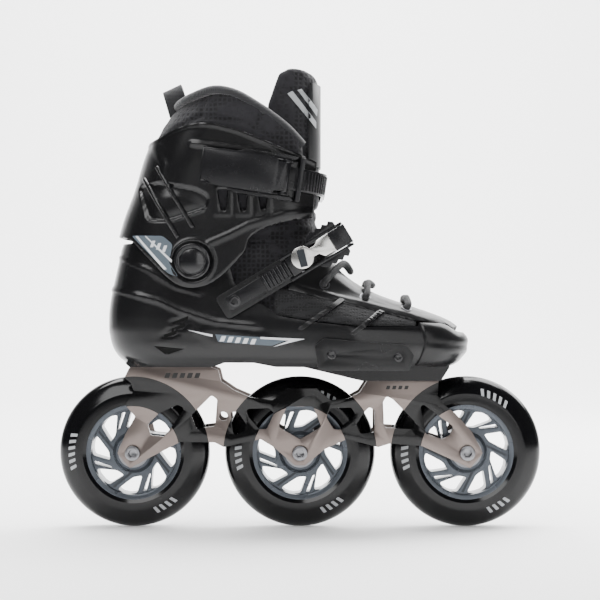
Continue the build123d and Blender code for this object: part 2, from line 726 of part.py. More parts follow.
def strap_band(plane, outer_start, inner_start, outer_y, inner_y, front, radius, thickness, width):
    """A ribbon that wraps from the outer side round the front to the inner side."""
    with BuildPart() as band:
        with BuildSketch(plane.offset(-width / 2)):
            with BuildLine():
                FilletPolyline(
                    (outer_start, outer_y), (front, outer_y), (front, inner_y), (inner_start, inner_y),
                    radius=radius,
                )
                Line((inner_start, inner_y), (inner_start, inner_y - thickness))
                FilletPolyline(
                    (inner_start, inner_y - thickness),
                    (front - thickness, inner_y - thickness),
                    (front - thickness, outer_y + thickness),
                    (outer_start, outer_y + thickness),
                    radius=radius - thickness,
                )
                Line((outer_start, outer_y + thickness), (outer_start, outer_y))
            make_face()
        extrude(amount=width)
    return band.part


def strap_box(plane, along, across, y_low, y_high):
    """A box in a strap's frame: ranges along the strap and across it, and in Y."""
    with BuildPart() as box:
        with BuildSketch(plane.offset(across[0])):
            with Locations(((along[0] + along[1]) / 2, (y_low + y_high) / 2)):
                Rectangle(along[1] - along[0], y_high - y_low)
        extrude(amount=across[1] - across[0])
    return box.part


def strap_rod(plane, along, y, radius, across):
    """A round pin across a strap's frame."""
    with BuildPart() as rod:
        with BuildSketch(plane.offset(across[0])):
            with Locations((along, y)):
                Circle(radius)
        extrude(amount=across[1] - across[0])
    return rod.part


def side_plane(plane, y):
    """The same frame turned so that a sketch lies flat against the boot's side."""
    return Plane(origin=plane.origin + Vector(0, y, 0), x_dir=plane.x_dir, z_dir=(0, -1, 0))


instep = strap_frame((instep_anchor[0], 0, instep_anchor[1]), 31)
top = strap_frame((top_strap_x, 0, top_strap_z), top_strap_angle)

# top buckle on the cuff
top_ladder_y = -50.4
with BuildPart() as top_ladder:
    add(strap_band(top, -46, -30, top_ladder_y, 48.8, 29, 22, 2, top_strap_width - 4))
    for tooth in range(12):
        add(strap_box(top, (-44 + 3.2 * tooth, -42.6 + 3.2 * tooth), (-6, 6), top_ladder_y - 0.5, top_ladder_y))
    with BuildSketch(side_plane(top, 40)):
        with Locations((ladder_screw_along, 0)):
            Circle(1.6)
    extrude(amount=20, dir=(0, 1, 0), mode=Mode.SUBTRACT)
save(top_ladder.part, "top_ladder")

top_pin_y = -54.2
with BuildPart() as top_buckle_base:
    add(strap_box(top, (-60, 8), (-12.6, 12.6), -48.1, -40))
    add(plan_form(shaft_slices, 0.05), mode=Mode.SUBTRACT)
    for low, high in ((-12.6, -10.6), (10.6, 12.6)):
        add(strap_box(top, (-58, 4), (low, high), -54.0, -47.5))
        add(strap_rod(top, 0, top_pin_y, 3.0, (low, high)))
    add(strap_rod(top, 0, top_pin_y, 1.52, (-20, 20)), mode=Mode.SUBTRACT)
    add(strap_rod(top, -18, -52.5, 0.92, (-20, 20)), mode=Mode.SUBTRACT)
top_base_body = top_buckle_base.part.solids().sort_by(SortBy.VOLUME)[-1]
save(Part() + top_base_body, "top_buckle_base")

with BuildPart() as top_buckle_pins:
    add(strap_rod(top, 0, top_pin_y, 1.48, (-12.5, 12.5)))
    add(strap_rod(top, -18, -52.5, 0.88, (-12.5, 12.5)))
save(top_buckle_pins.part, "top_buckle_pins")

with BuildPart() as top_lever:
    with BuildSketch(side_plane(top, -56.0)):
        with BuildLine():
            FilletPolyline(
                (-58, -9), (-48, -13), (-6.5, -13), (-6.5, -10.2), (0, -10.2), (0, 10.2), (-6.5, 10.2),
                (-6.5, 13), (-44, 13), (-58, 11),
                radius=1.5, close=True,
            )
        make_face()
    extrude(amount=2.6)
    add(strap_rod(top, 0, top_pin_y, 3.0, (-10.2, 10.2)))
    add(strap_box(top, (-5, 0), (-10.2, 10.2), -57, -54.4))
    add(strap_rod(top, 0, top_pin_y, 1.53, (-20, 20)), mode=Mode.SUBTRACT)
save(top_lever.part, "top_lever")

with BuildPart() as top_pawl:
    add(strap_box(top, (-25, -16.4), (-9, 9), -53.6, -51.5))
    add(strap_box(top, (-25, -23.6), (-9, 9), -53.6, -51.1))
    add(strap_rod(top, -18, -52.5, 1.6, (-9, 9)))
    add(strap_rod(top, -18, -52.5, 0.93, (-20, 20)), mode=Mode.SUBTRACT)
save(top_pawl.part, "top_pawl")

with BuildPart() as top_ladder_screw:
    with BuildSketch(side_plane(top, 48.85)):
        with Locations((ladder_screw_along, 0)):
            Circle(3.5)
    extrude(amount=1.6, dir=(0, 1, 0))
    with BuildSketch(side_plane(top, 44.0)):
        with Locations((ladder_screw_along, 0)):
            Circle(1.5)
    extrude(amount=5, dir=(0, 1, 0))
save(top_ladder_screw.part, "top_ladder_screw")

# instep strap and its ratchet
with BuildPart() as instep_strap:
    with BuildSketch(side_plane(instep, -39.9)):
        with BuildLine():
            FilletPolyline((-11, -9), (57, -9), (57, 9), (-11, 9), radius=3, close=True)
        make_face()
        Circle(2.05, mode=Mode.SUBTRACT)
    extrude(amount=2)
    add(shell.part, mode=Mode.SUBTRACT)
save(instep_strap.part, "instep_strap")

instep_ladder_y = -45.4
with BuildPart() as instep_ladder:
    add(strap_band(instep, 24, -6, instep_ladder_y, 42.2, 81, 24, 2, instep_strap_width - 5))
    for tooth in range(10):
        add(strap_box(instep, (27 + 3 * tooth, 28.6 + 3 * tooth), (-5, 5), instep_ladder_y - 0.4, instep_ladder_y))
    with BuildSketch(side_plane(instep, 38)):
        Circle(2.05)
    extrude(amount=20, dir=(0, 1, 0), mode=Mode.SUBTRACT)
save(instep_ladder.part, "instep_ladder")

with BuildPart() as instep_screws:
    for side, face in ((-1, 41.95), (1, 42.25)):
        with BuildSketch(side_plane(instep, side * face)):
            Circle(4.2)
        extrude(amount=1.9, dir=(0, side, 0))
        with BuildSketch(side_plane(instep, side * 36.5)):
            Circle(2.0)
        extrude(amount=face - 36.4, dir=(0, side, 0))
        with BuildSketch(side_plane(instep, side * (face + 0.9))):
            RegularPolygon(2.0, 6)
        extrude(amount=2, dir=(0, side, 0), mode=Mode.SUBTRACT)
save(instep_screws.part, "instep_screws")

instep_pin = (89.5, -49.6)
pawl_pin = (52.0, -48.0)
with BuildPart() as instep_buckle_base:
    add(strap_box(instep, (42, 57), (-9.4, 9.4), -43.2, -42.0))
    for low, high in ((-9.4, -7.4), (7.4, 9.4)):
        add(strap_box(instep, (42, 90), (low, high), -49.8, -42.0))
        add(strap_rod(instep, *instep_pin, 3.2, (low, high)))
    add(strap_rod(instep, *instep_pin, 1.52, (-20, 20)), mode=Mode.SUBTRACT)
    add(strap_rod(instep, *pawl_pin, 0.92, (-20, 20)), mode=Mode.SUBTRACT)
save(instep_buckle_base.part, "instep_buckle_base")

with BuildPart() as instep_pins:
    add(strap_rod(instep, *instep_pin, 1.48, (-9.3, 9.3)))
    add(strap_rod(instep, *pawl_pin, 0.88, (-9.3, 9.3)))
save(instep_pins.part, "instep_pins")

with BuildPart() as instep_pawl:
    add(strap_box(instep, (45, 53.4), (-6.9, 6.9), -49.3, -47.0))
    add(strap_box(instep, (45, 46.4), (-6.9, 6.9), -49.0, -46.2))
    add(strap_rod(instep, *pawl_pin, 1.6, (-6.9, 6.9)))
    add(strap_rod(instep, *pawl_pin, 0.93, (-20, 20)), mode=Mode.SUBTRACT)
save(instep_pawl.part, "instep_pawl")

with BuildPart() as instep_lever:
    with BuildSketch(side_plane(instep, -51.2)):
        with Locations((56.6, 1.5)):
            Circle(8.0)
        with BuildLine():
            Polyline((60, -1.8), (68, -2.2), (71, -6), (82, -6), (82, 7), (71, 7), (68, 4.4), (60, 4.6), close=True)
        make_face()
    extrude(amount=2.0)
save(instep_lever.part, "instep_lever")

with BuildPart() as instep_lever_cap:
    add(strap_box(instep, (80, instep_pin[0]), (-7.1, 7.1), -55.0, -46.6))
    add(strap_rod(instep, *instep_pin, 3.2, (-7.1, 7.1)))
    add(strap_box(instep, (instep_pin[0], 93), (-7.1, 7.1), -55.0, -49.6))
    add(strap_box(instep, (79, 82.1), (-6.1, 7.05), -53.25, -51.15), mode=Mode.SUBTRACT)
    add(strap_rod(instep, *instep_pin, 1.53, (-20, 20)), mode=Mode.SUBTRACT)
save(instep_lever_cap.part, "instep_lever_cap")
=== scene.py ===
"""Looks for the inline skate: skins, padding, trims, finishes and a plain studio around its CAD frame."""

import json
from math import cos, pi, radians, sin

import bmesh
import bpy
import numpy as np
from bpy.props import FloatProperty
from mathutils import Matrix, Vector
from mathutils.bvhtree import BVHTree
from mathutils.geometry import delaunay_2d_cdt


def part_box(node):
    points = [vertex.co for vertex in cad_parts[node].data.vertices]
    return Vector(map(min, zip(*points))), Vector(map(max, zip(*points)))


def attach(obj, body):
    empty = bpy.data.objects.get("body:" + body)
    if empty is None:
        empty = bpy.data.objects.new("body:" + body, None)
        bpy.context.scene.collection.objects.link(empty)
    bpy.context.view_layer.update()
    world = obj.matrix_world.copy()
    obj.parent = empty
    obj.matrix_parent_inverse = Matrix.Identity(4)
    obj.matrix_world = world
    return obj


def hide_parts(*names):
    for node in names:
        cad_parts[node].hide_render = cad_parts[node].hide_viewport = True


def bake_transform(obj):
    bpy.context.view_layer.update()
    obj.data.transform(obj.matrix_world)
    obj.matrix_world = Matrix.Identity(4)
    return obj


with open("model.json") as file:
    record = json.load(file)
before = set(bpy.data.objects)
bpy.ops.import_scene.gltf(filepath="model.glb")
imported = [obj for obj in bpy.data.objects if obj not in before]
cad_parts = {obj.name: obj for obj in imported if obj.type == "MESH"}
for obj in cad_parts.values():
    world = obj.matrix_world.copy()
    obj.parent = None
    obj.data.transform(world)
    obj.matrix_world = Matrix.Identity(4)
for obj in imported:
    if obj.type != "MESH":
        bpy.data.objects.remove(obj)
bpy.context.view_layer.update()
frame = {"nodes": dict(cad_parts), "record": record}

bl_info = {
    "name": "Inline Skate",
    "version": (1, 0, 0),
    "blender": (4, 5, 0),
    "location": "View3D > Sidebar > Inline Skate",
    "description": "Builds the skins, padding, trims and finishes of an inline skate around its CAD frame",
    "category": "Add Mesh",
}

MM = 0.001
WAY = 230.0  # millimetres that a full way round the boot's half is drawn as, in a skin's outline
RIM_CLEARANCE = 0.55  # how far inside points keep from an outline, as a share of their spacing
FLOOR_GAP = 0.2  # how far the floor lies below the wheels
LEVEL = 1e-6  # metres within which two heights count as the same
ROW_STEP = 0.5  # height between the rings of a boot form
CORNER_SHARE = 0.88  # how much of its half width a boot form's end corner rounds off
WHEELS = ("rear", "middle", "front")
SIDES = ((-1, "outer"), (1, "inner"))

# ------------------------------------------------------------------ sizes taken from the frame
AXLES = [sum(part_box(f"{name}_tyre")[i][0] for i in (0, 1)) / 2 / MM for name in WHEELS]
WHEEL_RADIUS = (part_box("middle_tyre")[1][2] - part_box("middle_tyre")[0][2]) / 2 / MM
HUB_RADIUS = (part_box("middle_hub")[1][2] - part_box("middle_hub")[0][2]) / 2 / MM
PIVOT = tuple((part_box("pivot_bolts")[0][i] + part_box("pivot_bolts")[1][i]) / 2 / MM for i in (0, 2))
CUFF_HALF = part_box("pivot_bolts")[1][1] / MM - 2.7  # the bolt's head stands 2.7 proud of the cuff

# Each strap's place and slope (degrees) in the side view
INSTEP_SPOT, INSTEP_SLOPE = (-46.0, 165.0), 31
TOP_SPOT, TOP_SLOPE = (-10.6, 251.5), -9

HUB_TURN = {"rear": 15, "middle": 11, "front": 40}  # degrees each hub has turned
# Hub outlines: (radius, degrees) in its face, and (radius, distance from the middle) in its section
HUB_WINDOW = [
    (18.4, 8), (24, -7), (29.6, -14.5), (30.8, -6), (31.0, 2), (29.9, 13.5), (24, 19), (18.4, 28),
]
HUB_SLOT = [(19.6, 17.5), (29.6, -2.6), (29.8, 2.6), (20, 23)]
# Painted shade: outline of the dark mark that stands for the shade in a groove on each thick spoke
HUB_GROOVE_SHADE = [(15.4, 63), (29.6, 43.2), (29.6, 46.8), (15.4, 71)]
HUB_RIM = [
    (31.0, -10.2), (31.5, -10.6), (HUB_RADIUS, -10.6), (HUB_RADIUS, 10.6),
    (31.5, 10.6), (31.0, 10.2), (30.7, 7.8), (30.7, -7.8),
]
HUB_BOSS = [
    (11.05, -11.7), (12.6, -11.7), (13.3, -11.0), (15.4, -7.8),
    (15.4, 7.8), (13.3, 11.0), (12.6, 11.7), (11.05, 11.7),
]
TYRE_BARS = ((178, 6), (62, 5), (300, 4))  # degrees round the tyre and how many bars

# Boot form: level, back, waist, front, heel half, waist half, front half (millimetres)
FOOT_LEVELS = [
    (118.0, -124.0, 42.0, 110.0, 27.0, 41.0, 28.0),
    (124.0, -131.0, 42.0, 116.0, 31.0, 45.0, 33.0),
    (141.0, -138.5, 40.0, 118.5, 34.0, 47.5, 36.0),
    (151.0, -139.0, 34.0, 108.0, 34.5, 46.5, 33.0),
    (160.0, -138.5, 22.0, 85.0, 35.0, 43.5, 28.0),
    (170.0, -137.0, 2.0, 57.0, 35.5, 40.0, 25.0),
    (184.0, -134.0, -12.0, 33.5, 36.0, 37.5, 25.0),
    (202.0, -130.0, -22.0, 22.5, 36.0, 37.0, 25.0),
    (222.0, -126.0, -28.0, 11.5, 36.0, 37.0, 25.0),
]
SHAFT_LEVELS = [
    (168.0, -140.0, -40.0, 26.0, CUFF_HALF - 0.6, CUFF_HALF, CUFF_HALF - 0.8),
    (200.0, -134.5, -40.0, 26.0, CUFF_HALF - 0.6, CUFF_HALF, CUFF_HALF - 0.8),
    (222.0, -129.0, -38.0, 26.0, CUFF_HALF - 0.6, CUFF_HALF, CUFF_HALF - 0.8),
    (245.0, -120.5, -36.0, 26.0, 43.9, 44.5, 43.7),
    (268.0, -113.5, -34.0, 26.0, 45.8, 46.5, 45.6),
    (292.0, -104.0, -32.0, 26.0, 47.2, 48.0, 47.0),
    (345.0, -84.0, -28.0, 26.0, 48.4, 49.4, 48.2),
]


def strap_outline(spot, slope, places):
    """Side view points from places given along and across a strap."""
    slope = radians(slope)
    along, across = np.array([cos(slope), sin(slope)]), np.array([-sin(slope), cos(slope)])
    return [np.array(spot) + along * a + across * b for a, b in places]


# ------------------------------------------------------------------ the boot's form
def catmull(knots, values, wanted):
    """Smooth curve through values at knots, read at each wanted place."""
    knots, values = np.asarray(knots, float), np.asarray(values, float)
    slopes = np.gradient(values, knots)
    wanted = np.clip(wanted, knots[0], knots[-1])
    at = np.clip(np.searchsorted(knots, wanted) - 1, 0, len(knots) - 2)
    step = knots[at + 1] - knots[at]
    t = (wanted - knots[at]) / step
    a, b = values[at], values[at + 1]
    m, n = slopes[at] * step, slopes[at + 1] * step
    return ((2 * a - 2 * b + m + n) * t + (3 * b - 3 * a - 2 * m - n)) * t * t + m * t + a


def rounded_run(corners, radii, counts):
    """Points along a run of straight lines with rounded corners; counts are per straight and per arc."""
    points = [np.array(corner, float) for corner in corners]
    out = []
    start = points[0]
    for i in range(1, len(points) - 1):
        into = points[i] - points[i - 1]
        away = points[i + 1] - points[i]
        into /= np.linalg.norm(into)
        away /= np.linalg.norm(away)
        turn = np.arctan2(into[0] * away[1] - into[1] * away[0], into @ away)
        reach = abs(radii[i - 1] * np.tan(turn / 2))
        first = points[i] - into * reach
        share = np.linspace(0, 1, counts[2 * i - 2], endpoint=False)[:, None]
        out.append(start + (first - start) * share)
        side = np.array([-into[1], into[0]]) * np.sign(turn)
        centre = first + side * radii[i - 1]
        angles = np.linspace(0, turn, counts[2 * i - 1], endpoint=False)
        spoke = first - centre
        arc = [
            centre + np.array([spoke[0] * cos(a) - spoke[1] * sin(a), spoke[0] * sin(a) + spoke[1] * cos(a)])
            for a in angles
        ]
        out.append(np.array(arc))
        start = points[i] + away * reach
    share = np.linspace(0, 1, counts[-1])[:, None]
    out.append(start + (points[-1] - start) * share)
    return np.concatenate(out)


class BootForm:
    """The boot's outer surface, read by side view place or by way round and height."""

    def __init__(self, levels, grow=0.0):
        table = np.array(levels, float)
        table[:, 0] += grow * np.minimum(1.0, (table[:, 0] - table[0, 0]) / 40)
        self.low, self.high = table[0, 0], table[-1, 0]
        self.z = np.arange(self.low, self.high + ROW_STEP / 2, ROW_STEP)
        columns = [catmull(table[:, 0], table[:, i], self.z) for i in range(1, 7)]
        back, waist, front, heel, middle, tip = columns
        rings = []
        for i in range(len(self.z)):
            corners = [
                (back[i] - grow, 0), (back[i] - grow, -heel[i] - grow), (waist[i], -middle[i] - grow),
                (front[i] + grow, -tip[i] - grow), (front[i] + grow, 0),
            ]
            radii = [CORNER_SHARE * (heel[i] + grow), 50, CORNER_SHARE * (tip[i] + grow)]
            rings.append(rounded_run(corners, radii, (6, 40, 50, 8, 44, 40, 7)))
        self.rings = np.array(rings)
        self.t = np.linspace(0, 1, self.rings.shape[1])
        grid = np.empty(self.rings.shape[:2] + (3,))
        grid[..., :2] = self.rings
        grid[..., 2] = self.z[:, None]
        along = np.gradient(grid, axis=1)
        up = np.gradient(grid, axis=0)
        normal = np.cross(along, up)
        normal /= np.maximum(np.linalg.norm(normal, axis=2, keepdims=True), 1e-9)
        self.grid, self.normals = grid, normal

    def read(self, table, t, z):
        """Blend four table entries at way round t (0 back, 1 front) and height z."""
        rows = np.clip((z - self.low) / ROW_STEP, 0, len(self.z) - 1.001)
        cols = np.clip(t * (len(self.t) - 1), 0, len(self.t) - 1.001)
        i, j = rows.astype(int), cols.astype(int)
        a, b = (rows - i)[:, None], (cols - j)[:, None]
        near = table[i, j] * (1 - b) + table[i, j + 1] * b
        far = table[i + 1, j] * (1 - b) + table[i + 1, j + 1] * b
        return near * (1 - a) + far * a

    def place(self, way, z, lift=0.0):
        """Surface points and normals; a negative way is the outer side, a positive one the inner side."""
        way, z = np.asarray(way, float), np.asarray(z, float)
        side = np.where(way > 0, -1.0, 1.0)
        point = self.read(self.grid, np.abs(way), z)
        normal = self.read(self.normals, np.abs(way), z)
        normal /= np.maximum(np.linalg.norm(normal, axis=1, keepdims=True), 1e-9)
        point[:, 1] *= side
        normal[:, 1] *= side
        return point + normal * np.reshape(lift, (-1, 1)), normal

    def row(self, z):
        """The ring nearest to a height."""
        return int(np.clip(round((z - self.low) / ROW_STEP), 0, len(self.z) - 1))

    def way(self, x, z):
        """Way round at a side view place."""
        return float(np.interp(x, self.rings[self.row(z), :, 0], self.t))


# ------------------------------------------------------------------ outlines in the side view
def rounded(points, radius=2.0, closed=True, count=5):
    """An outline with its corners rounded."""
    points = [np.array(p, float) for p in points]
    if radius <= 0:
        return np.array(points)
    out = []
    number = len(points)
    for i, corner in enumerate(points):
        if not closed and i in (0, number - 1):
            out.append(corner)
            continue
        before, after = points[i - 1] - corner, points[(i + 1) % number] - corner
        reach = min(radius, 0.45 * np.linalg.norm(before), 0.45 * np.linalg.norm(after))
        a = corner + before / np.linalg.norm(before) * reach
        b = corner + after / np.linalg.norm(after) * reach
        for s in np.linspace(0, 1, count):
            out.append((1 - s) ** 2 * a + 2 * s * (1 - s) * corner + s * s * b)
    return np.array(out)


def densify(points, step, closed=True):
    """The same line with points no further apart than step."""
    points = np.asarray(points, float)
    out = []
    last = len(points) if closed else len(points) - 1
    for i in range(last):
        a, b = points[i], points[(i + 1) % len(points)]
        number = max(1, int(np.ceil(np.linalg.norm(b - a) / step)))
        out.extend(a + (b - a) * k / number for k in range(number))
    if not closed:
        out.append(points[-1])
    return np.array(out)


def line_distance(spots, line, closed=False):
    """Distance from each spot to a run of straight lines."""
    line = np.asarray(line, float)
    ends = np.roll(line, -1, axis=0) if closed else line[1:]
    starts = line if closed else line[:-1]
    best = np.full(len(spots), 1e9)
    for a, b in zip(starts, ends):
        run = b - a
        share = np.clip(((spots - a) @ run) / max(run @ run, 1e-12), 0, 1)
        best = np.minimum(best, np.linalg.norm(spots - a - share[:, None] * run, axis=1))
    return best


def inside(spots, outline):
    """True where a spot is inside the outline."""
    outline = np.asarray(outline, float)
    result = np.zeros(len(spots), bool)
    x, y = spots[:, 0], spots[:, 1]
    for (x1, y1), (x2, y2) in zip(outline, np.roll(outline, -1, axis=0)):
        if y1 == y2:
            continue
        crosses = ((y1 > y) != (y2 > y)) & (x < (x2 - x1) * (y - y1) / (y2 - y1) + x1)
        result ^= crosses
    return result


def raised(spots, outline, height, soft=1.5):
    """A raised (or sunk) area with soft edges, inside an outline."""
    depth = line_distance(spots, outline, closed=True)
    depth = np.where(inside(spots, outline), depth, -depth)
    share = np.clip(0.5 + depth / soft, 0, 1)
    return height * share * share * (3 - 2 * share)


def ridge(spots, line, height, width):
    """A rounded rib (or groove) along a line."""
    share = np.clip(line_distance(spots, line) / width, 0, 1)
    return height * (1 - share * share) ** 1.5


# ------------------------------------------------------------------ mesh helpers
def new_object(name, verts, faces, smooth=50):
    """A mesh object from millimetre points, smooth except at edges sharper than the angle."""
    mesh = bpy.data.meshes.new(name)
    mesh.from_pydata([tuple(v) for v in np.asarray(verts) * MM], [], [tuple(f) for f in faces])
    mesh.validate()
    mesh.update()
    piece = bpy.data.objects.new(name, mesh)
    bpy.context.scene.collection.objects.link(piece)
    soften(piece, smooth)
    return piece


def soften(piece, angle=50):
    """Smooth shading except at edges sharper than the angle."""
    mesh = piece.data
    mesh.polygons.foreach_set("use_smooth", [True] * len(mesh.polygons))
    if angle < 180:
        mesh.set_sharp_from_angle(angle=radians(angle))


def apply_modifiers(piece):
    """Turn a piece's modifiers into plain mesh."""
    graph = bpy.context.evaluated_depsgraph_get()
    mesh = bpy.data.meshes.new_from_object(piece.evaluated_get(graph))
    piece.modifiers.clear()
    piece.data = mesh


def fill_outline(outer, holes, spacing):
    """Triangles inside an outline, less its holes, with even points between."""
    loops = [np.asarray(outer, float)] + [np.asarray(hole, float) for hole in holes]
    boundary = np.concatenate(loops)
    low, high = boundary.min(axis=0), boundary.max(axis=0)
    xs = np.arange(low[0] + spacing / 2, high[0], spacing)
    ys = np.arange(low[1] + spacing / 2, high[1], spacing)
    grid = np.array([(x + (spacing / 2 if k % 2 else 0), y) for k, y in enumerate(ys) for x in xs])
    keep = inside(grid, loops[0])
    for hole in loops[1:]:
        keep &= ~inside(grid, hole)
    grid = grid[keep]
    if len(grid):
        near = np.full(len(grid), 1e9)
        for loop in loops:
            near = np.minimum(near, line_distance(grid, loop, closed=True))
        grid = grid[near > spacing * RIM_CLEARANCE]
    edges = []
    count = 0
    for loop in loops:
        edges.extend((count + i, count + (i + 1) % len(loop)) for i in range(len(loop)))
        count += len(loop)
    every = np.concatenate([boundary, grid]) if len(grid) else boundary
    spots, _, faces, *_ = delaunay_2d_cdt([Vector(p) for p in every], edges, [], 0, 1e-5)
    spots = np.array([tuple(s) for s in spots])
    centres = np.array([spots[list(f)].mean(axis=0) for f in faces])
    keep = inside(centres, loops[0])
    for hole in loops[1:]:
        keep &= ~inside(centres, hole)
    return spots, [list(f) for f, ok in zip(faces, keep) if ok]


def open_edges(faces):
    """Edges that only one face uses."""
    edges = {(a, b): True for face in faces for a, b in zip(face, face[1:] + face[:1])}
    return [(a, b) for a, b in edges if (b, a) not in edges]


def close_rim(verts, faces, inward, depth):
    """Add a turned-in edge of the given depth all round a sheet."""
    rim = open_edges(faces)
    used = {v for edge in rim for v in edge}
    verts = list(verts)
    copies = {}
    for v in used:
        copies[v] = len(verts)
        verts.append(verts[v] - inward[v] * depth)
    faces = list(faces) + [[b, a, copies[a], copies[b]] for a, b in rim]
    return np.array(verts), faces


def skin(name, form, outline, holes=(), relief=None, lift=0.0, depth=2.6, spacing=1.6, around="back",
         edge=1.0, smooth=50):
    """A moulded skin on the boot's form.

    The outline and holes are (way, height) points, ways scaled to millimetres; relief gives extra height
    from side view places and which side they are on. The last millimetre rolls over at the edge.
    """
    spots, faces = fill_outline(outline, holes, spacing)
    way = spots[:, 0] / WAY
    if around == "front":
        way = np.where(way < 0, -1 - way, 1 - way)
    base, normal = form.place(way, spots[:, 1])
    height = np.full(len(spots), float(lift))
    side = np.where(way > 0, 1, -1)
    if relief is not None:
        height = height + relief(base[:, [0, 2]], side, base)
    rim = np.full(len(spots), 1e9)
    for loop in [outline, *holes]:
        rim = np.minimum(rim, line_distance(spots, loop, closed=True))
    roll = np.clip(rim / max(edge, 1e-6), 0, 1)
    height = height - edge * 0.6 * (1 - np.sqrt(1 - (1 - roll) ** 2))
    verts = base + normal * height[:, None]
    sample = faces[len(faces) // 2]
    a, b, c = (verts[i] for i in sample[:3])
    if np.dot(np.cross(b - a, c - a), normal[sample[0]]) < 0:
        faces = [face[::-1] for face in faces]
    verts, faces = close_rim(verts, faces, normal, depth)
    return new_object(name, verts, faces, smooth)


def side_loop(form, outline, side, step=1.2, around="back"):
    """A side view outline carried onto one side of the form, as (way, height) points."""
    loop = []
    for x, z in densify(outline, step):
        way = form.way(x, z)
        if around == "back":
            loop.append((side * way * WAY, z))
        else:
            loop.append((side * (1 - way) * WAY, z))
    return np.array(loop)


def wrap(form, lower, upper, step=1.5, around="back"):
    """An outline that runs round the back or front; its side view lines start at the other end."""
    def carry(line, side):
        places = [(form.way(x, z), z) for x, z in densify(line, step, closed=False)]
        return [(side * (way if around == "back" else 1 - way) * WAY, z) for way, z in places]

    outer_low, outer_up = carry(lower, -1), carry(upper, -1)
    inner_low, inner_up = carry(lower, 1), carry(upper, 1)
    return tidy_loop(outer_low + inner_low[::-1] + inner_up + outer_up[::-1])


def tidy_loop(loop):
    """Drop points that fall on the one before."""
    out = []
    for point in loop:
        if not out or abs(point[0] - out[-1][0]) + abs(point[1] - out[-1][1]) > 0.05:
            out.append(point)
    return np.array(out)


def true_up(piece, bevel=0.0, profile=0.5, angle=0):
    """Turn faces outward and, where a bevel is given, round the sharp edges of the flat sides."""
    shape = bmesh.new()
    shape.from_mesh(piece.data)
    bmesh.ops.recalc_face_normals(shape, faces=shape.faces)
    if bevel:
        rim = [e for e in shape.edges if abs(e.verts[0].co.y - e.verts[1].co.y) < LEVEL
               and (not angle or (len(e.link_faces) == 2 and e.calc_face_angle(0) > radians(angle)))]
        bmesh.ops.bevel(
            shape, geom=rim, offset=bevel * MM, segments=3, profile=profile, affect="EDGES",
            clamp_overlap=True,
        )
    shape.to_mesh(piece.data)
    shape.free()
    soften(piece, 40)
    return piece


def from_cad(node, width=0.4, body=None, slot=None, segments=2, angle=32, name=None):
    """A finished copy of a hard CAD piece with its sharp edges broken, standing for that node."""
    source = frame["nodes"][node]
    mesh = source.data.copy()
    mesh.name = name or f"{node}_finished"
    shape = bmesh.new()
    shape.from_mesh(mesh)
    bmesh.ops.remove_doubles(shape, verts=shape.verts, dist=2e-6)
    bmesh.ops.dissolve_limit(shape, angle_limit=radians(0.6), verts=shape.verts, edges=shape.edges)
    sharp = [e for e in shape.edges if len(e.link_faces) == 2 and e.calc_face_angle(0) > radians(angle)]
    bmesh.ops.bevel(
        shape, geom=sharp, offset=width * MM, segments=segments, profile=0.5, affect="EDGES",
        clamp_overlap=True,
    )
    shape.to_mesh(mesh)
    shape.free()
    piece = bpy.data.objects.new(name or f"{node}_finished", mesh)
    bpy.context.scene.collection.objects.link(piece)
    mesh.materials.clear()
    soften(piece, 40)
    place(piece, body or BODY_OF[node], slot or SLOT_OF[node], node)
    return piece


def place(piece, body, slot, *nodes):
    """Put a finish on a piece, ride it on its body and hide the CAD nodes it stands for."""
    if not piece.data.materials:
        piece.data.materials.append(FINISHES[slot])
    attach(piece, body)
    if nodes:
        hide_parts(*nodes)
    return piece


def smooth_line(points, step=2.0):
    """A Catmull-Rom line through 3-D points."""
    points = np.array(points, float)
    ends = np.vstack([2 * points[0] - points[1], points, 2 * points[-1] - points[-2]])
    out = []
    for i in range(1, len(ends) - 2):
        p0, p1, p2, p3 = ends[i - 1:i + 3]
        number = max(2, int(np.linalg.norm(p2 - p1) / step))
        for t in np.linspace(0, 1, number, endpoint=False):
            out.append(0.5 * ((2 * p1) + (p2 - p0) * t + (2 * p0 - 5 * p1 + 4 * p2 - p3) * t * t
                              + (3 * p1 - p0 - 3 * p2 + p3) * t ** 3))
    out.append(points[-1])
    return np.array(out)


def tube(name, line, radius, sides=12, closed=False, flat=1.0, normal=None, caps=True):
    """A round (or flattened) tube along a 3-D line in millimetres."""
    line = np.array(line, float)
    number = len(line)
    if closed:
        tangents = np.roll(line, -1, axis=0) - np.roll(line, 1, axis=0)
    else:
        tangents = np.gradient(line, axis=0)
    tangents /= np.maximum(np.linalg.norm(tangents, axis=1, keepdims=True), 1e-9)
    up = np.array(normal if normal is not None else (0.0, 0.0, 1.0), float)
    if abs(up @ tangents[0]) > 0.95:
        up = np.array((0.0, 1.0, 0.0))
    radius = np.broadcast_to(radius, (number,))
    verts, faces = [], []
    across = up
    for i in range(number):
        across = across - tangents[i] * (across @ tangents[i])
        across /= np.linalg.norm(across)
        other = np.cross(tangents[i], across)
        for k in range(sides):
            a = 2 * pi * k / sides
            verts.append(line[i] + radius[i] * (cos(a) * across * flat + sin(a) * other))
    rings = number if closed else number - 1
    for i in range(rings):
        j = (i + 1) % number
        for k in range(sides):
            m = (k + 1) % sides
            faces.append([i * sides + k, i * sides + m, j * sides + m, j * sides + k])
    if not closed and caps:
        faces.append(list(range(sides))[::-1])
        faces.append([(number - 1) * sides + k for k in range(sides)])
    return new_object(name, verts, faces, 60)


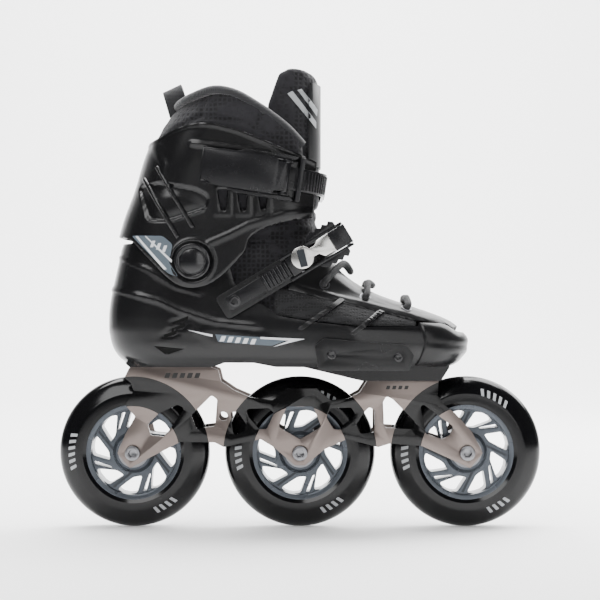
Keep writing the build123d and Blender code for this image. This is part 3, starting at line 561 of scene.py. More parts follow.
def join(pieces, name):
    """Join several objects into one."""
    shape = bmesh.new()
    for piece in pieces:
        shape.from_mesh(piece.data)
    mesh = bpy.data.meshes.new(name)
    shape.to_mesh(mesh)
    shape.free()
    for slot_material in pieces[0].data.materials:
        mesh.materials.append(slot_material)
    for piece in pieces:
        old = piece.data
        bpy.data.objects.remove(piece)
        bpy.data.meshes.remove(old)
    whole = bpy.data.objects.new(name, mesh)
    bpy.context.scene.collection.objects.link(whole)
    return whole


# ------------------------------------------------------------------ shader groups
def group_tree(name, inputs, outputs):
    """A new shader group with named sockets; returns the tree and its two ends."""
    tree = bpy.data.node_groups.new(name, "ShaderNodeTree")
    for label, kind, default in inputs:
        socket = tree.interface.new_socket(label, in_out="INPUT", socket_type=kind)
        socket.default_value = default
    for label, kind in outputs:
        tree.interface.new_socket(label, in_out="OUTPUT", socket_type=kind)
    return tree, tree.nodes.new("NodeGroupInput"), tree.nodes.new("NodeGroupOutput")


def node(tree, kind, inputs=None, **settings):
    """Add a node, set its fields, and feed its inputs with values or sockets."""
    made = tree.nodes.new(kind)
    for key, value in settings.items():
        setattr(made, key, value)
    for key, value in (inputs or {}).items():
        if isinstance(value, bpy.types.NodeSocket):
            tree.links.new(value, made.inputs[key])
        else:
            made.inputs[key].default_value = value
    return made


def maths(tree, operation, a, b=0.0, clamp=False):
    """A Math node's result."""
    return node(tree, "ShaderNodeMath", {0: a, 1: b}, operation=operation, use_clamp=clamp).outputs[0]


def build_grain():
    """Moulded grain: fine bumps plus slow waviness."""
    tree, start, end = group_tree(
        "Moulded Grain",
        [("Scale", "NodeSocketFloat", 1800.0), ("Waviness", "NodeSocketFloat", 0.3)],
        [("Height", "NodeSocketFloat"), ("Mask", "NodeSocketFloat")],
    )
    where = node(tree, "ShaderNodeTexCoord").outputs["Object"]
    fine = node(tree, "ShaderNodeTexNoise", {"Vector": where, "Scale": start.outputs["Scale"], "Detail": 3.0})
    slow = node(tree, "ShaderNodeTexNoise", {"Vector": where, "Scale": 60.0, "Detail": 2.0})
    swell = maths(tree, "MULTIPLY", slow.outputs["Fac"], start.outputs["Waviness"])
    height = maths(tree, "ADD", fine.outputs["Fac"], swell)
    tree.links.new(height, end.inputs["Height"])
    tree.links.new(fine.outputs["Fac"], end.inputs["Mask"])
    return tree


def build_tone():
    """Colour and roughness that vary a little over the surface, with handling marks."""
    tree, start, end = group_tree(
        "Surface Tone",
        [
            ("Color", "NodeSocketColor", (0.5, 0.5, 0.5, 1)),
            ("Dust Color", "NodeSocketColor", (0.2, 0.19, 0.18, 1)),
            ("Dust", "NodeSocketFloat", 0.05), ("Roughness", "NodeSocketFloat", 0.4),
            ("Spread", "NodeSocketFloat", 0.1), ("Scale", "NodeSocketFloat", 25.0),
        ],
        [("Color", "NodeSocketColor"), ("Roughness", "NodeSocketFloat")],
    )
    where = node(tree, "ShaderNodeTexCoord").outputs["Object"]
    scale = start.outputs["Scale"]
    blotch = node(tree, "ShaderNodeTexNoise", {"Vector": where, "Scale": scale, "Detail": 5.0})
    fleck = node(tree, "ShaderNodeTexNoise", {"Vector": where, "Scale": 420.0, "Detail": 4.0})
    mixed = maths(tree, "MULTIPLY", blotch.outputs["Fac"], fleck.outputs["Fac"])
    mask = maths(tree, "MULTIPLY", mixed, start.outputs["Dust"], clamp=True)
    colour = node(tree, "ShaderNodeMix", {BLEND_MASK: mask}, data_type="RGBA")
    tree.links.new(start.outputs["Color"], colour.inputs[BLEND_FIRST])
    tree.links.new(start.outputs["Dust Color"], colour.inputs[BLEND_SECOND])
    offset = maths(tree, "SUBTRACT", blotch.outputs["Fac"], 0.5)
    swing = maths(tree, "MULTIPLY", offset, start.outputs["Spread"])
    rough = maths(tree, "ADD", swing, start.outputs["Roughness"], clamp=True)
    tree.links.new(colour.outputs[BLEND_RESULT], end.inputs["Color"])
    tree.links.new(rough, end.inputs["Roughness"])
    return tree


def build_weave():
    """Open spacer-mesh fabric: small cells with threads between them."""
    tree, start, end = group_tree(
        "Spacer Mesh",
        [("Cells per Metre", "NodeSocketFloat", 420.0), ("Thread", "NodeSocketFloat", 0.35)],
        [("Height", "NodeSocketFloat"), ("Hole", "NodeSocketFloat")],
    )
    where = node(tree, "ShaderNodeTexCoord").outputs["Object"]
    cells = node(
        tree, "ShaderNodeTexVoronoi",
        {"Vector": where, "Scale": start.outputs["Cells per Metre"], "Randomness": 0.25},
        feature="DISTANCE_TO_EDGE",
    )
    hole = node(
        tree, "ShaderNodeMapRange",
        {"Value": cells.outputs["Distance"], "From Min": 0.05, "From Max": start.outputs["Thread"]},
        interpolation_type="SMOOTHSTEP",
    )
    height = maths(tree, "SUBTRACT", 1.0, hole.outputs["Result"])
    tree.links.new(height, end.inputs["Height"])
    tree.links.new(hole.outputs["Result"], end.inputs["Hole"])
    return tree


def build_ribs():
    """Woven webbing: crossed ribs along two directions."""
    tree, start, end = group_tree(
        "Webbing Weave",
        [("Ribs per Metre", "NodeSocketFloat", 900.0)],
        [("Height", "NodeSocketFloat")],
    )
    where = node(tree, "ShaderNodeTexCoord").outputs["Object"]
    split = node(tree, "ShaderNodeSeparateXYZ", {"Vector": where})
    rate = maths(tree, "MULTIPLY", start.outputs["Ribs per Metre"], 2 * pi)
    flat = maths(tree, "ADD", split.outputs["X"], split.outputs["Y"])
    ribs = []
    for operation in ("ADD", "SUBTRACT"):
        slant = maths(tree, operation, flat, split.outputs["Z"])
        ribs.append(maths(tree, "SINE", maths(tree, "MULTIPLY", slant, rate)))
    tree.links.new(maths(tree, "MULTIPLY", *ribs), end.inputs["Height"])
    return tree


def build_brushed():
    """Fine lines of a brushed and anodised plate, drawn out along X."""
    tree, start, end = group_tree(
        "Brushed Lines",
        [("Scale", "NodeSocketFloat", 900.0)],
        [("Height", "NodeSocketFloat"), ("Mask", "NodeSocketFloat")],
    )
    where = node(tree, "ShaderNodeTexCoord").outputs["Object"]
    drawn = node(tree, "ShaderNodeMapping", {"Vector": where, "Scale": (0.04, 1.0, 1.0)})
    lines = node(
        tree, "ShaderNodeTexNoise",
        {"Vector": drawn.outputs["Vector"], "Scale": start.outputs["Scale"], "Detail": 4.0},
    )
    tree.links.new(lines.outputs["Fac"], end.inputs["Height"])
    tree.links.new(lines.outputs["Fac"], end.inputs["Mask"])
    return tree


FINISHES = {}
GROUPS = {}
DUST_COLOR = (0.12, 0.12, 0.12, 1)
BLEND_MASK, BLEND_FIRST, BLEND_SECOND, BLEND_RESULT = 0, 6, 7, 2  # a colour Mix node's sockets


def finish(name, color, roughness, metallic=0.0, texture="Moulded Grain", texture_inputs=None, bump=0.1,
           depth=0.1, coat=0.0, coat_roughness=0.1, sheen=0.0, spread=0.12, dust=0.1, specular=0.3):
    """A finish whose colour, roughness and relief vary over the surface."""
    material = bpy.data.materials.new(name)
    material.use_nodes = True
    tree = material.node_tree
    shader = tree.nodes["Principled BSDF"]
    tone = node(tree, "ShaderNodeGroup", node_tree=GROUPS["Surface Tone"])
    tone.inputs["Color"].default_value = (*color, 1)
    tone.inputs["Dust Color"].default_value = DUST_COLOR
    tone.inputs["Dust"].default_value = dust
    tone.inputs["Roughness"].default_value = roughness
    tone.inputs["Spread"].default_value = spread
    tree.links.new(tone.outputs["Color"], shader.inputs["Base Color"])
    tree.links.new(tone.outputs["Roughness"], shader.inputs["Roughness"])
    surface = node(tree, "ShaderNodeGroup", node_tree=GROUPS[texture])
    for key, value in (texture_inputs or {}).items():
        surface.inputs[key].default_value = value
    relief = {"Height": surface.outputs["Height"], "Strength": bump, "Distance": depth * MM}
    bumped = node(tree, "ShaderNodeBump", relief)
    tree.links.new(bumped.outputs["Normal"], shader.inputs["Normal"])
    shader.inputs["Metallic"].default_value = metallic
    shader.inputs["Specular IOR Level"].default_value = specular
    shader.inputs["Coat Weight"].default_value = coat
    shader.inputs["Coat Roughness"].default_value = coat_roughness
    shader.inputs["Sheen Weight"].default_value = sheen
    FINISHES[name] = material
    return tree, shader, tone, surface


# ------------------------------------------------------------------ places on finished surfaces
RECORD = frame["record"]
BODY_OF = {name: body for body, names in RECORD["behaviour"]["bodies"].items() for name in names}
SLOT_OF = {part["node"]: part["material_slot"] for part in RECORD["subparts"]}
FOOT = BootForm(FOOT_LEVELS)
SHAFT = BootForm(SHAFT_LEVELS)


def surface_of(*pieces):
    """A ray target made of several meshes."""
    verts, faces = [], []
    for piece in pieces:
        start = len(verts)
        verts.extend(v.co.copy() for v in piece.data.vertices)
        faces.extend([start + i for i in p.vertices] for p in piece.data.polygons)
    return BVHTree.FromPolygons(verts, faces)


def decal(name, target, outlines, side, slot, body, lift=0.1, spacing=1.6, corner=0.4):
    """Thin marks laid on a surface, drawn as outlines in the side view: printed or moulded marks, and dark
    marks that paint the shade in grooves and vents.
    """
    all_verts, all_faces = [], []
    for outline in outlines:
        loop = densify(rounded(outline, corner), 0.9)
        spots, faces = fill_outline(loop, [], spacing)
        verts = []
        for x, z in spots:
            hit, normal, _, _ = target.ray_cast(Vector((x, 130 * side, z)) * MM, Vector((0, -side, 0)))
            if hit is None:
                hit, normal, _, _ = target.find_nearest(Vector((x, 60 * side, z)) * MM)
            if normal.y * side < 0:
                normal = -normal
            verts.append(np.array(hit + normal * lift * MM) / MM)
        verts = np.array(verts)
        a, b, c = (verts[i] for i in faces[0][:3])
        if np.cross(b - a, c - a)[1] * side < 0:
            faces = [face[::-1] for face in faces]
        start = len(all_verts)
        all_verts.extend(verts)
        all_faces.extend([start + i for i in face] for face in faces)
    return place(new_object(name, all_verts, all_faces, 60), body, slot)


def slanted_bars(start, step, count, size, lean=2.0):
    """Outlines of a row of leaning bars, each (width, height)."""
    bars = []
    for k in range(count):
        x, z = start[0] + step[0] * k, start[1] + step[1] * k
        width, height = size
        bars.append([(x, z), (x + width, z), (x + width + lean, z + height), (x + lean, z + height)])
    return bars


def soft_copy(node_name, name, voxel=3.0, puff=0.5, passes=6, seams=(), grain=0.25):
    """A padded copy of a soft CAD piece: one closed skin, rounded off, plumped and dented along its seams."""
    source = frame["nodes"][node_name]
    piece = bpy.data.objects.new(name, source.data.copy())
    bpy.context.scene.collection.objects.link(piece)
    piece.data.materials.clear()
    remesh = piece.modifiers.new("Closed skin", "REMESH")
    remesh.mode, remesh.voxel_size = "VOXEL", voxel * MM
    apply_modifiers(piece)
    rounder = piece.modifiers.new("Rounded off", "SMOOTH")
    rounder.factor, rounder.iterations = 0.5, passes
    finer = piece.modifiers.new("Finer", "SUBSURF")
    finer.levels = finer.render_levels = 1
    apply_modifiers(piece)
    mesh = piece.data
    count = len(mesh.vertices)
    spots, normals = np.empty(count * 3), np.empty(count * 3)
    mesh.vertices.foreach_get("co", spots)
    mesh.vertices.foreach_get("normal", normals)
    spots, normals = spots.reshape(-1, 3) / MM, normals.reshape(-1, 3)
    height = np.full(count, puff)
    x, y, z = spots.T
    height += grain * np.sin(x * 0.31 + z * 0.23) * np.sin(z * 0.37 + y * 0.2)
    for seam in seams:
        height += ridge(spots[:, [0, 2]], np.array(seam, float), -1.1, 2.6)
    mesh.vertices.foreach_set("co", ((spots + normals * height[:, None]) * MM).ravel())
    mesh.update()
    soften(piece, 180)
    return piece


# ------------------------------------------------------------------ finishes
def build_finishes():
    """Shader groups first, then one finish per material slot and the marks."""
    GROUPS.update({
        "Moulded Grain": build_grain(), "Surface Tone": build_tone(), "Spacer Mesh": build_weave(),
        "Webbing Weave": build_ribs(), "Brushed Lines": build_brushed(),
    })
    frame_finish()
    finish("steel", (0.20, 0.20, 0.21), 0.30, 1.0, "Brushed Lines", bump=0.05)
    finish("tyre_urethane", (0.0015, 0.0015, 0.002), 0.14, bump=0.03, spread=0.06, dust=0.03, specular=0.25,
           coat=0.05)
    finish("hub_nylon", (0.060, 0.068, 0.080), 0.28, 0.5, bump=0.08, spread=0.15, dust=0.1)
    finish("shell_plastic", (0.003, 0.003, 0.0035), 0.22, bump=0.05, spread=0.1, dust=0.05, coat=0.12,
           coat_roughness=0.25)
    finish("cuff_plastic", (0.003, 0.003, 0.0035), 0.25, bump=0.06, spread=0.1, dust=0.05, coat=0.1,
           coat_roughness=0.25)
    finish("trim_plastic", (0.004, 0.004, 0.0045), 0.28, bump=0.08, dust=0.06)
    finish("vamp_skin", (0.004, 0.004, 0.0045), 0.30, bump=0.12, dust=0.06)
    mesh_finish("vent_mesh", (0.006, 0.006, 0.007), 480.0)
    finish("eyelet_metal", (0.16, 0.16, 0.17), 0.3, 1.0, bump=0.05)
    finish("lace_cord", (0.008, 0.008, 0.009), 0.7, 0.0, "Webbing Weave", {"Ribs per Metre": 620.0}, 0.6, 0.3,
           sheen=0.1)
    mesh_finish("liner_fabric", (0.008, 0.0075, 0.010), 300.0)
    finish("footbed_foam", (0.02, 0.02, 0.022), 0.9, bump=0.3, dust=0.2)
    finish("tongue_plate", (0.007, 0.007, 0.008), 0.36, bump=0.15, dust=0.06)
    finish("webbing", (0.010, 0.010, 0.012), 0.75, 0.0, "Webbing Weave", {"Ribs per Metre": 500.0}, 0.6, 0.3,
           sheen=0.3)
    finish("pivot_plastic", (0.005, 0.005, 0.006), 0.18, bump=0.02, coat=0.4)
    finish("ladder_plastic", (0.004, 0.004, 0.005), 0.26, bump=0.06)
    finish("buckle_plastic", (0.004, 0.004, 0.005), 0.24, bump=0.05)
    finish("strap_skin", (0.0035, 0.0035, 0.004), 0.32, bump=0.12)
    finish("lever_alloy", (0.62, 0.61, 0.59), 0.22, 1.0, "Brushed Lines", bump=0.08)
    finish("mark_grey", (0.30, 0.31, 0.32), 0.45, bump=0.02)
    finish("mark_light", (0.62, 0.63, 0.65), 0.42, bump=0.02)
    finish("mark_blue", (0.075, 0.095, 0.115), 0.38, bump=0.02)
    # painted shade: dark marks for the shade in the hub's spoke grooves and in the instep lever's groove
    finish("mark_shade", (0.018, 0.021, 0.026), 0.35, 0.3, bump=0.02)
    # painted shade: near-black for the insides of the shell's sunk vents
    finish("mark_vent_shade", (0.0008, 0.0008, 0.0008), 0.7, bump=0.02, specular=0.1)
    finish("mark_dark", (0.012, 0.012, 0.012), 0.45, bump=0.02)
    finish("floor_paint", (0.92, 0.92, 0.92), 0.85, bump=0.02, dust=0.0, spread=0.02)


def mesh_finish(name, color, cells):
    """Knitted spacer fabric, with painted shade in its open holes."""
    tree, shader, tone, surface = finish(
        name, color, 0.8, 0.0, "Spacer Mesh", {"Cells per Metre": cells}, bump=0.7, depth=0.4, sheen=0.06,
    )
    hole_shade = node(tree, "ShaderNodeMix", data_type="RGBA")
    tree.links.new(surface.outputs["Hole"], hole_shade.inputs[BLEND_MASK])
    tree.links.new(tone.outputs["Color"], hole_shade.inputs[BLEND_FIRST])
    # painted shade: the holes take a fifth of the fabric's colour
    hole_shade.inputs[BLEND_SECOND].default_value = (color[0] * 0.2, color[1] * 0.2, color[2] * 0.2, 1)
    tree.links.new(hole_shade.outputs[BLEND_RESULT], shader.inputs["Base Color"])


def frame_finish():
    """Champagne anodised plate that turns black in a disc round each axle."""
    tree, shader, tone, _ = finish(
        "frame_alloy", (0.17, 0.142, 0.130), 0.34, 1.0, "Brushed Lines", bump=0.08, dust=0.08,
    )
    where = node(tree, "ShaderNodeTexCoord").outputs["Object"]
    split = node(tree, "ShaderNodeSeparateXYZ", {"Vector": where})
    black = None
    for x in AXLES:
        across = maths(tree, "SUBTRACT", split.outputs["X"], x * MM)
        up = maths(tree, "SUBTRACT", split.outputs["Z"], WHEEL_RADIUS * MM)
        squares = [maths(tree, "POWER", leg, 2.0) for leg in (across, up)]
        reach = maths(tree, "SQRT", maths(tree, "ADD", *squares))
        outer = maths(tree, "LESS_THAN", reach, (WHEEL_RADIUS + 0.5) * MM)
        inner = maths(tree, "GREATER_THAN", reach, (HUB_RADIUS - 0.5) * MM)
        ring = maths(tree, "MULTIPLY", outer, inner)
        black = ring if black is None else maths(tree, "MAXIMUM", black, ring)
    paint = node(tree, "ShaderNodeMix", data_type="RGBA")
    tree.links.new(black, paint.inputs[BLEND_MASK])
    tree.links.new(tone.outputs["Color"], paint.inputs[BLEND_FIRST])
    paint.inputs[BLEND_SECOND].default_value = (0.003, 0.003, 0.0032, 1)
    tree.links.new(paint.outputs[BLEND_RESULT], shader.inputs["Base Color"])
    metal = maths(tree, "SUBTRACT", 1.0, black)
    gloss = node(tree, "ShaderNodeMix", {0: black, 3: 0.12}, data_type="FLOAT")
    tree.links.new(tone.outputs["Roughness"], gloss.inputs[2])
    tree.links.new(gloss.outputs[0], shader.inputs["Roughness"])
    tree.links.new(metal, shader.inputs["Metallic"])


# ------------------------------------------------------------------ pieces
def wheel_place(x, reach, turn):
    """A side view place on a wheel, from its centre."""
    return (x + reach * cos(radians(turn)), WHEEL_RADIUS + reach * sin(radians(turn)))


def slab(name, outer, holes, y_half, spacing, bevel):
    """A flat web with holes, the same both sides of the middle, with rounded edges."""
    spots, faces = fill_outline(outer, holes, spacing)
    count = len(spots)
    verts = [(x, y, z) for y in (-y_half, y_half) for x, z in spots]
    sheet = [list(face) for face in faces]
    rim = open_edges(sheet)
    other_sheet = [[count + i for i in face][::-1] for face in sheet]
    walls = [[b, a, count + a, count + b] for a, b in rim]
    whole = new_object(name, verts, sheet + other_sheet + walls, 40)
    return true_up(whole, bevel, profile=0.6, angle=60)


def lathe(name, profile, x, steps=96):
    """A closed ring turned about a wheel's axle from (radius, y) points."""
    count = len(profile)
    verts, faces = [], []
    for k in range(steps):
        for reach, y in profile:
            place_x, place_z = wheel_place(x, reach, 360 * k / steps)
            verts.append((place_x, y, place_z))
        for i in range(count):
            m, j = (k + 1) % steps, (i + 1) % count
            faces.append([k * count + i, k * count + j, m * count + j, m * count + i])
    return true_up(new_object(name, verts, faces, 40))


def make_hub(name, x):
    """A wheel's hub: rim, bearing boss and a web with four pairs of swept windows and slots."""
    outer = [wheel_place(x, 32.2, turn) for turn in range(0, 360, 4)]
    bore = [wheel_place(x, 11.6, turn) for turn in range(0, 360, 10)]
    holes = [np.array(bore)]
    for quarter in range(4):
        start = HUB_TURN[name] + 90 * quarter
        for offset in (-24, 24):
            window = [wheel_place(x, reach, start + offset + turn) for reach, turn in HUB_WINDOW]
            holes.append(densify(rounded(window, 1.8), 1.2))
        slot = [wheel_place(x, reach, start + turn) for reach, turn in HUB_SLOT]
        holes.append(densify(rounded(slot, 0.8), 1.0))
    web = slab("hub", np.array(outer), holes, 8.0, 3.0, 0.7)
    rim = lathe("hub_rim", HUB_RIM, x)
    boss = lathe("hub_boss", HUB_BOSS, x)
    return join([web, rim, boss], f"{name}_hub_swept")


def make_wheels(settings):
    """Hubs with swept windows and painted shade for the spoke grooves, and the bars printed on the tyres."""
    for name, x in zip(WHEELS, AXLES):
        body = f"{name}_wheel"
        tyre = frame["nodes"][f"{name}_tyre"]
        target = surface_of(tyre)
        hub = make_hub(name, x)
        place(hub, body, "hub_nylon", f"{name}_hub")
        target_hub = surface_of(hub)
        for side, label in SIDES:
            groove_shades = []
            for spoke in range(4):
                start = HUB_TURN[name] + 90 * spoke
                groove_shades.append([wheel_place(x, reach, start + turn) for reach, turn in HUB_GROOVE_SHADE])
            # no groove is cut: a dark mark paints the shade a groove would hold
            decal(f"{name}_hub_groove_shade_{label}", target_hub, groove_shades, side, "mark_shade", body, 0.08)
            bars = []
            for centre, count in TYRE_BARS:
                for k in range(count):
                    middle = radians(centre + (k - (count - 1) / 2) * 6.0)
                    inner, outer = settings.mark_inner / MM, settings.mark_outer / MM
                    corners = []
                    for reach, turn in ((inner, -0.026), (inner, 0.026), (outer, 0.058), (outer, 0.006)):
                        across, up = reach * cos(middle + turn), reach * sin(middle + turn)
                        corners.append((x - side * across, WHEEL_RADIUS + up))
                    bars.append(corners)
            decal(f"{name}_tyre_marks_{label}", target, bars, side, "mark_grey", body)


def plate(name, outline, y_low, y_high, bevel):
    """A flat piece with a side view outline, between two distances from the middle, with rounded edges."""
    count = len(outline)
    verts = [(x, y, z) for y in (y_low, y_high) for x, z in outline]
    faces = [list(range(count)), list(range(count, 2 * count))[::-1]]
    faces += [[i, (i + 1) % count, count + (i + 1) % count, count + i][::-1] for i in range(count)]
    return true_up(new_object(name, verts, faces, 40), bevel)


def ladder_ribs(name, origin, angle, outer_y, inner_y, front, radius, start, stop, pitch, width, body):
    """Raised teeth across a ratchet strap, from the outer side round the front."""
    along = np.array([cos(radians(angle)), 0, sin(radians(angle))])
    across = np.array([-sin(radians(angle)), 0, cos(radians(angle))])
    run = [(start, outer_y), (front - radius, outer_y)]
    bend = np.linspace(0, pi / 2, 14)[1:]
    for turn in bend:
        run.append((front - radius + radius * sin(turn), outer_y + radius - radius * cos(turn)))
    run.append((front, inner_y - radius))
    for turn in bend:
        run.append((front - radius + radius * cos(turn), inner_y - radius + radius * sin(turn)))
    run = densify(run, 0.25, closed=False)
    length = np.concatenate([[0], np.cumsum(np.linalg.norm(np.diff(run, axis=0), axis=1))])
    bars = []
    for at in np.arange(0, min(stop, length[-1]), pitch):
        s, y = (np.interp(at, length, run[:, k]) for k in (0, 1))
        centre = np.array([origin[0], 0, origin[1]]) + along * s + np.array([0, y, 0])
        bars.append(tube("tooth", [centre - across * width / 2, centre + across * width / 2], 0.75, 8))
    return place(join(bars, name), body, "ladder_plastic")


def make_hard_pieces(settings):
    """Finished copies of the metal and plastic pieces with their edges broken."""
    width = settings.edge_radius / MM
    for name in HARD_PIECES:
        from_cad(name, width, slot="pivot_plastic" if name in ("slider_screws", "instep_screws") else None)
    wing = [
        (64, 9.2), (88, 9.2), (88, 12), (85, 14.4), (83, 12.4), (80, 14.6),
        (78, 12.6), (75, 14.6), (73, 12.6), (70, 14.2), (66, 12),
    ]
    wings = []
    for side in (1, -1):
        outline = strap_outline(INSTEP_SPOT, INSTEP_SLOPE, [(a, b * side) for a, b in wing])
        wings.append(plate("wing", rounded(outline, 0.7), -49.3, -44.5, 0.5))
    place(join(wings, "instep_buckle_wings"), "boot", "buckle_plastic")
    ladder_ribs(
        "top_ladder_teeth", TOP_SPOT, TOP_SLOPE, -50.4, 48.8, 29, 22, 13, 95, 2.6, 13, "cuff",
    )
    ladder_ribs(
        "instep_ladder_teeth", INSTEP_SPOT, INSTEP_SLOPE, -45.4, 42.2, 81, 24, 26, 26, 3.0, 10.5, "boot",
    )
    rails = []
    for runs in (
        [(-36, 13.1), (6, 13.1), (8, 15.6), (-30, 15.6)],
        [(-40, -13.1), (6, -13.1), (8, -15.8), (-34, -15.8)],
        [(9.2, -15.6), (12.6, -15.6), (12.6, 15.6), (9.2, 15.6)],
    ):
        outline = strap_outline(TOP_SPOT, TOP_SLOPE, runs)
        rails.append(plate("rail", rounded(outline, 1.0), -54.4, -45.0, 0.5))
    place(join(rails, "top_buckle_rails"), "cuff", "buckle_plastic")


HARD_PIECES = (
    "frame", "slider_outer", "slider_inner", "slider_screws", "eyelets", "pivot_bolts",
    "top_buckle_base", "top_lever", "top_pawl", "top_ladder", "top_ladder_screw", "instep_ladder",
    "instep_screws", "instep_buckle_base", "instep_pawl", "instep_lever", "instep_lever_cap",
    "tongue_shield", "axles",
)


def make_cuff():
    """The hinged cuff: one moulded skin with a framed window, struts, slots and a rolled rim."""
    lower = rounded([
        (9.5, 224), (-10.5, 221.5), (-26, 216.5), (-36.5, 209.5), (-38.5, 200), (-54.6, 183.5), (-64, 176.5),
        (-77, 173.8), (-86.5, 176), (-94, 181.5), (-121, 209), (-142, 212.5),
    ], 5, closed=False)
    upper = rounded([
        (11.5, 263.7), (-10.5, 272.5), (-43.7, 286), (-61.5, 290.5), (-75, 290.5), (-88, 287), (-101, 281),
        (-113, 277.5), (-125, 276),
    ], 8, closed=False)
    outline = wrap(SHAFT, lower, upper, 1.4)
    slots = [
        [(-58.2, 244), (-51, 244), (-52.6, 229), (-56, 229)],
        [(-44.2, 244), (-36.8, 244), (-38.6, 229), (-42, 229)],
        [(-29.6, 244), (-22.6, 244), (-24.6, 230), (-27.6, 230)],
    ]
    hole = []
    for turn in np.linspace(0, 2 * pi, 24, endpoint=False):
        hole.append((PIVOT[0] + 6.5 * cos(turn), PIVOT[1] + 6.5 * sin(turn)))
    holes = []
    for side in (-1, 1):
        holes.extend(side_loop(SHAFT, rounded(slot, 1.2), side, 0.9) for slot in slots)
        holes.append(side_loop(SHAFT, hole, side, 1.2))
    window = rounded([
        (-116, 247), (-100, 249), (-73, 244), (-64, 239), (-66, 230.5), (-92, 221.5), (-108, 222),
    ], 4)
    struts = [
        [(-113.5, 252), (-111, 254), (-84.5, 210.5), (-87.5, 208.5)],
        [(-103.5, 260), (-101, 261.5), (-74, 217.5), (-77, 215.5)],
    ]
    glass = rounded([(-108, 244), (-76, 239), (-68, 232), (-92, 225), (-104, 228)], 4)
    lens = np.array([(-76, 276), (-62, 274.5), (-42, 272), (-22, 269)])
    rim = np.array(upper)
    fold = np.array([(-104, 275), (-97, 262), (-99, 247)])
    edge = np.array([(-92.8, 221.5), (-68.2, 229.7)])
    sweep = np.array([(-64, 206), (-50, 212), (-36, 219), (-12, 226), (8, 228)])
    panels = [
        rounded([(-60, 247), (-48, 247), (-48, 225), (-61, 225)], 2),
        rounded([(-46, 247), (-34.4, 247), (-34.4, 225), (-46, 225)], 2),
        rounded([(-31.6, 247), (-20, 247), (-20, 225), (-31.6, 225)], 2),
    ]

    def relief(spots, side, base):
        height = raised(spots, window, -1.9, 1.4)
        height = height + raised(spots, glass, 1.1, 9.0)
        ribs = ((lens, 1.1, 2.6), (rim, 0.9, 3.2), (fold, 0.7, 4), (edge, 0.9, 1.4), (sweep, 0.7, 3.5))
        for line, rise, width in ribs:
            height = height + ridge(spots, line, rise, width)
        for panel in panels:
            height = height + raised(spots, panel, 0.3, 2.0)
        round_pivot = np.linalg.norm(spots - np.array(PIVOT), axis=1)
        height = height + 0.8 * np.clip(1 - np.abs(round_pivot - 15.5) / 1.6, 0, 1)
        height = height - 0.5 * (round_pivot < 14)
        return height

    cuff = skin("cuff_skin", SHAFT, outline, holes, relief, 0.0, 2.4, 1.15, edge=0.8, smooth=60)
    place(cuff, "cuff", "cuff_plastic", "cuff")
    bars = []
    for side in (-1, 1):
        for strut in struts:
            loop = side_loop(SHAFT, rounded(strut, 1.2), side, 0.9)
            bars.append(skin("strut", SHAFT, loop, (), None, 1.0, 3.2, 0.9, edge=1.2, smooth=60))
    place(join(bars, "cuff_struts"), "cuff", "cuff_plastic")
    target = surface_of(cuff)
    for side, label in SIDES:
        field = [[
            (-120, 211.5), (-97, 211), (-90, 205), (-92.5, 192), (-86, 182), (-93.5, 184.5), (-106, 197.5),
        ]]
        decal(f"cuff_mark_field_{label}", target, field, side, "mark_blue", "cuff", 0.15, corner=2)
        lines = [
            [(-117, 211), (-115, 211), (-94, 187.5), (-96, 187)],
            [(-110, 211), (-109, 211), (-90.5, 194), (-90.8, 192)],
        ]
        lines += slanted_bars((-106, 203), (4.2, -1.7), 3, (2.2, 4.6), 1.6)
        decal(f"cuff_mark_lines_{label}", target, lines, side, "mark_light", "cuff", 0.25, corner=0.3)


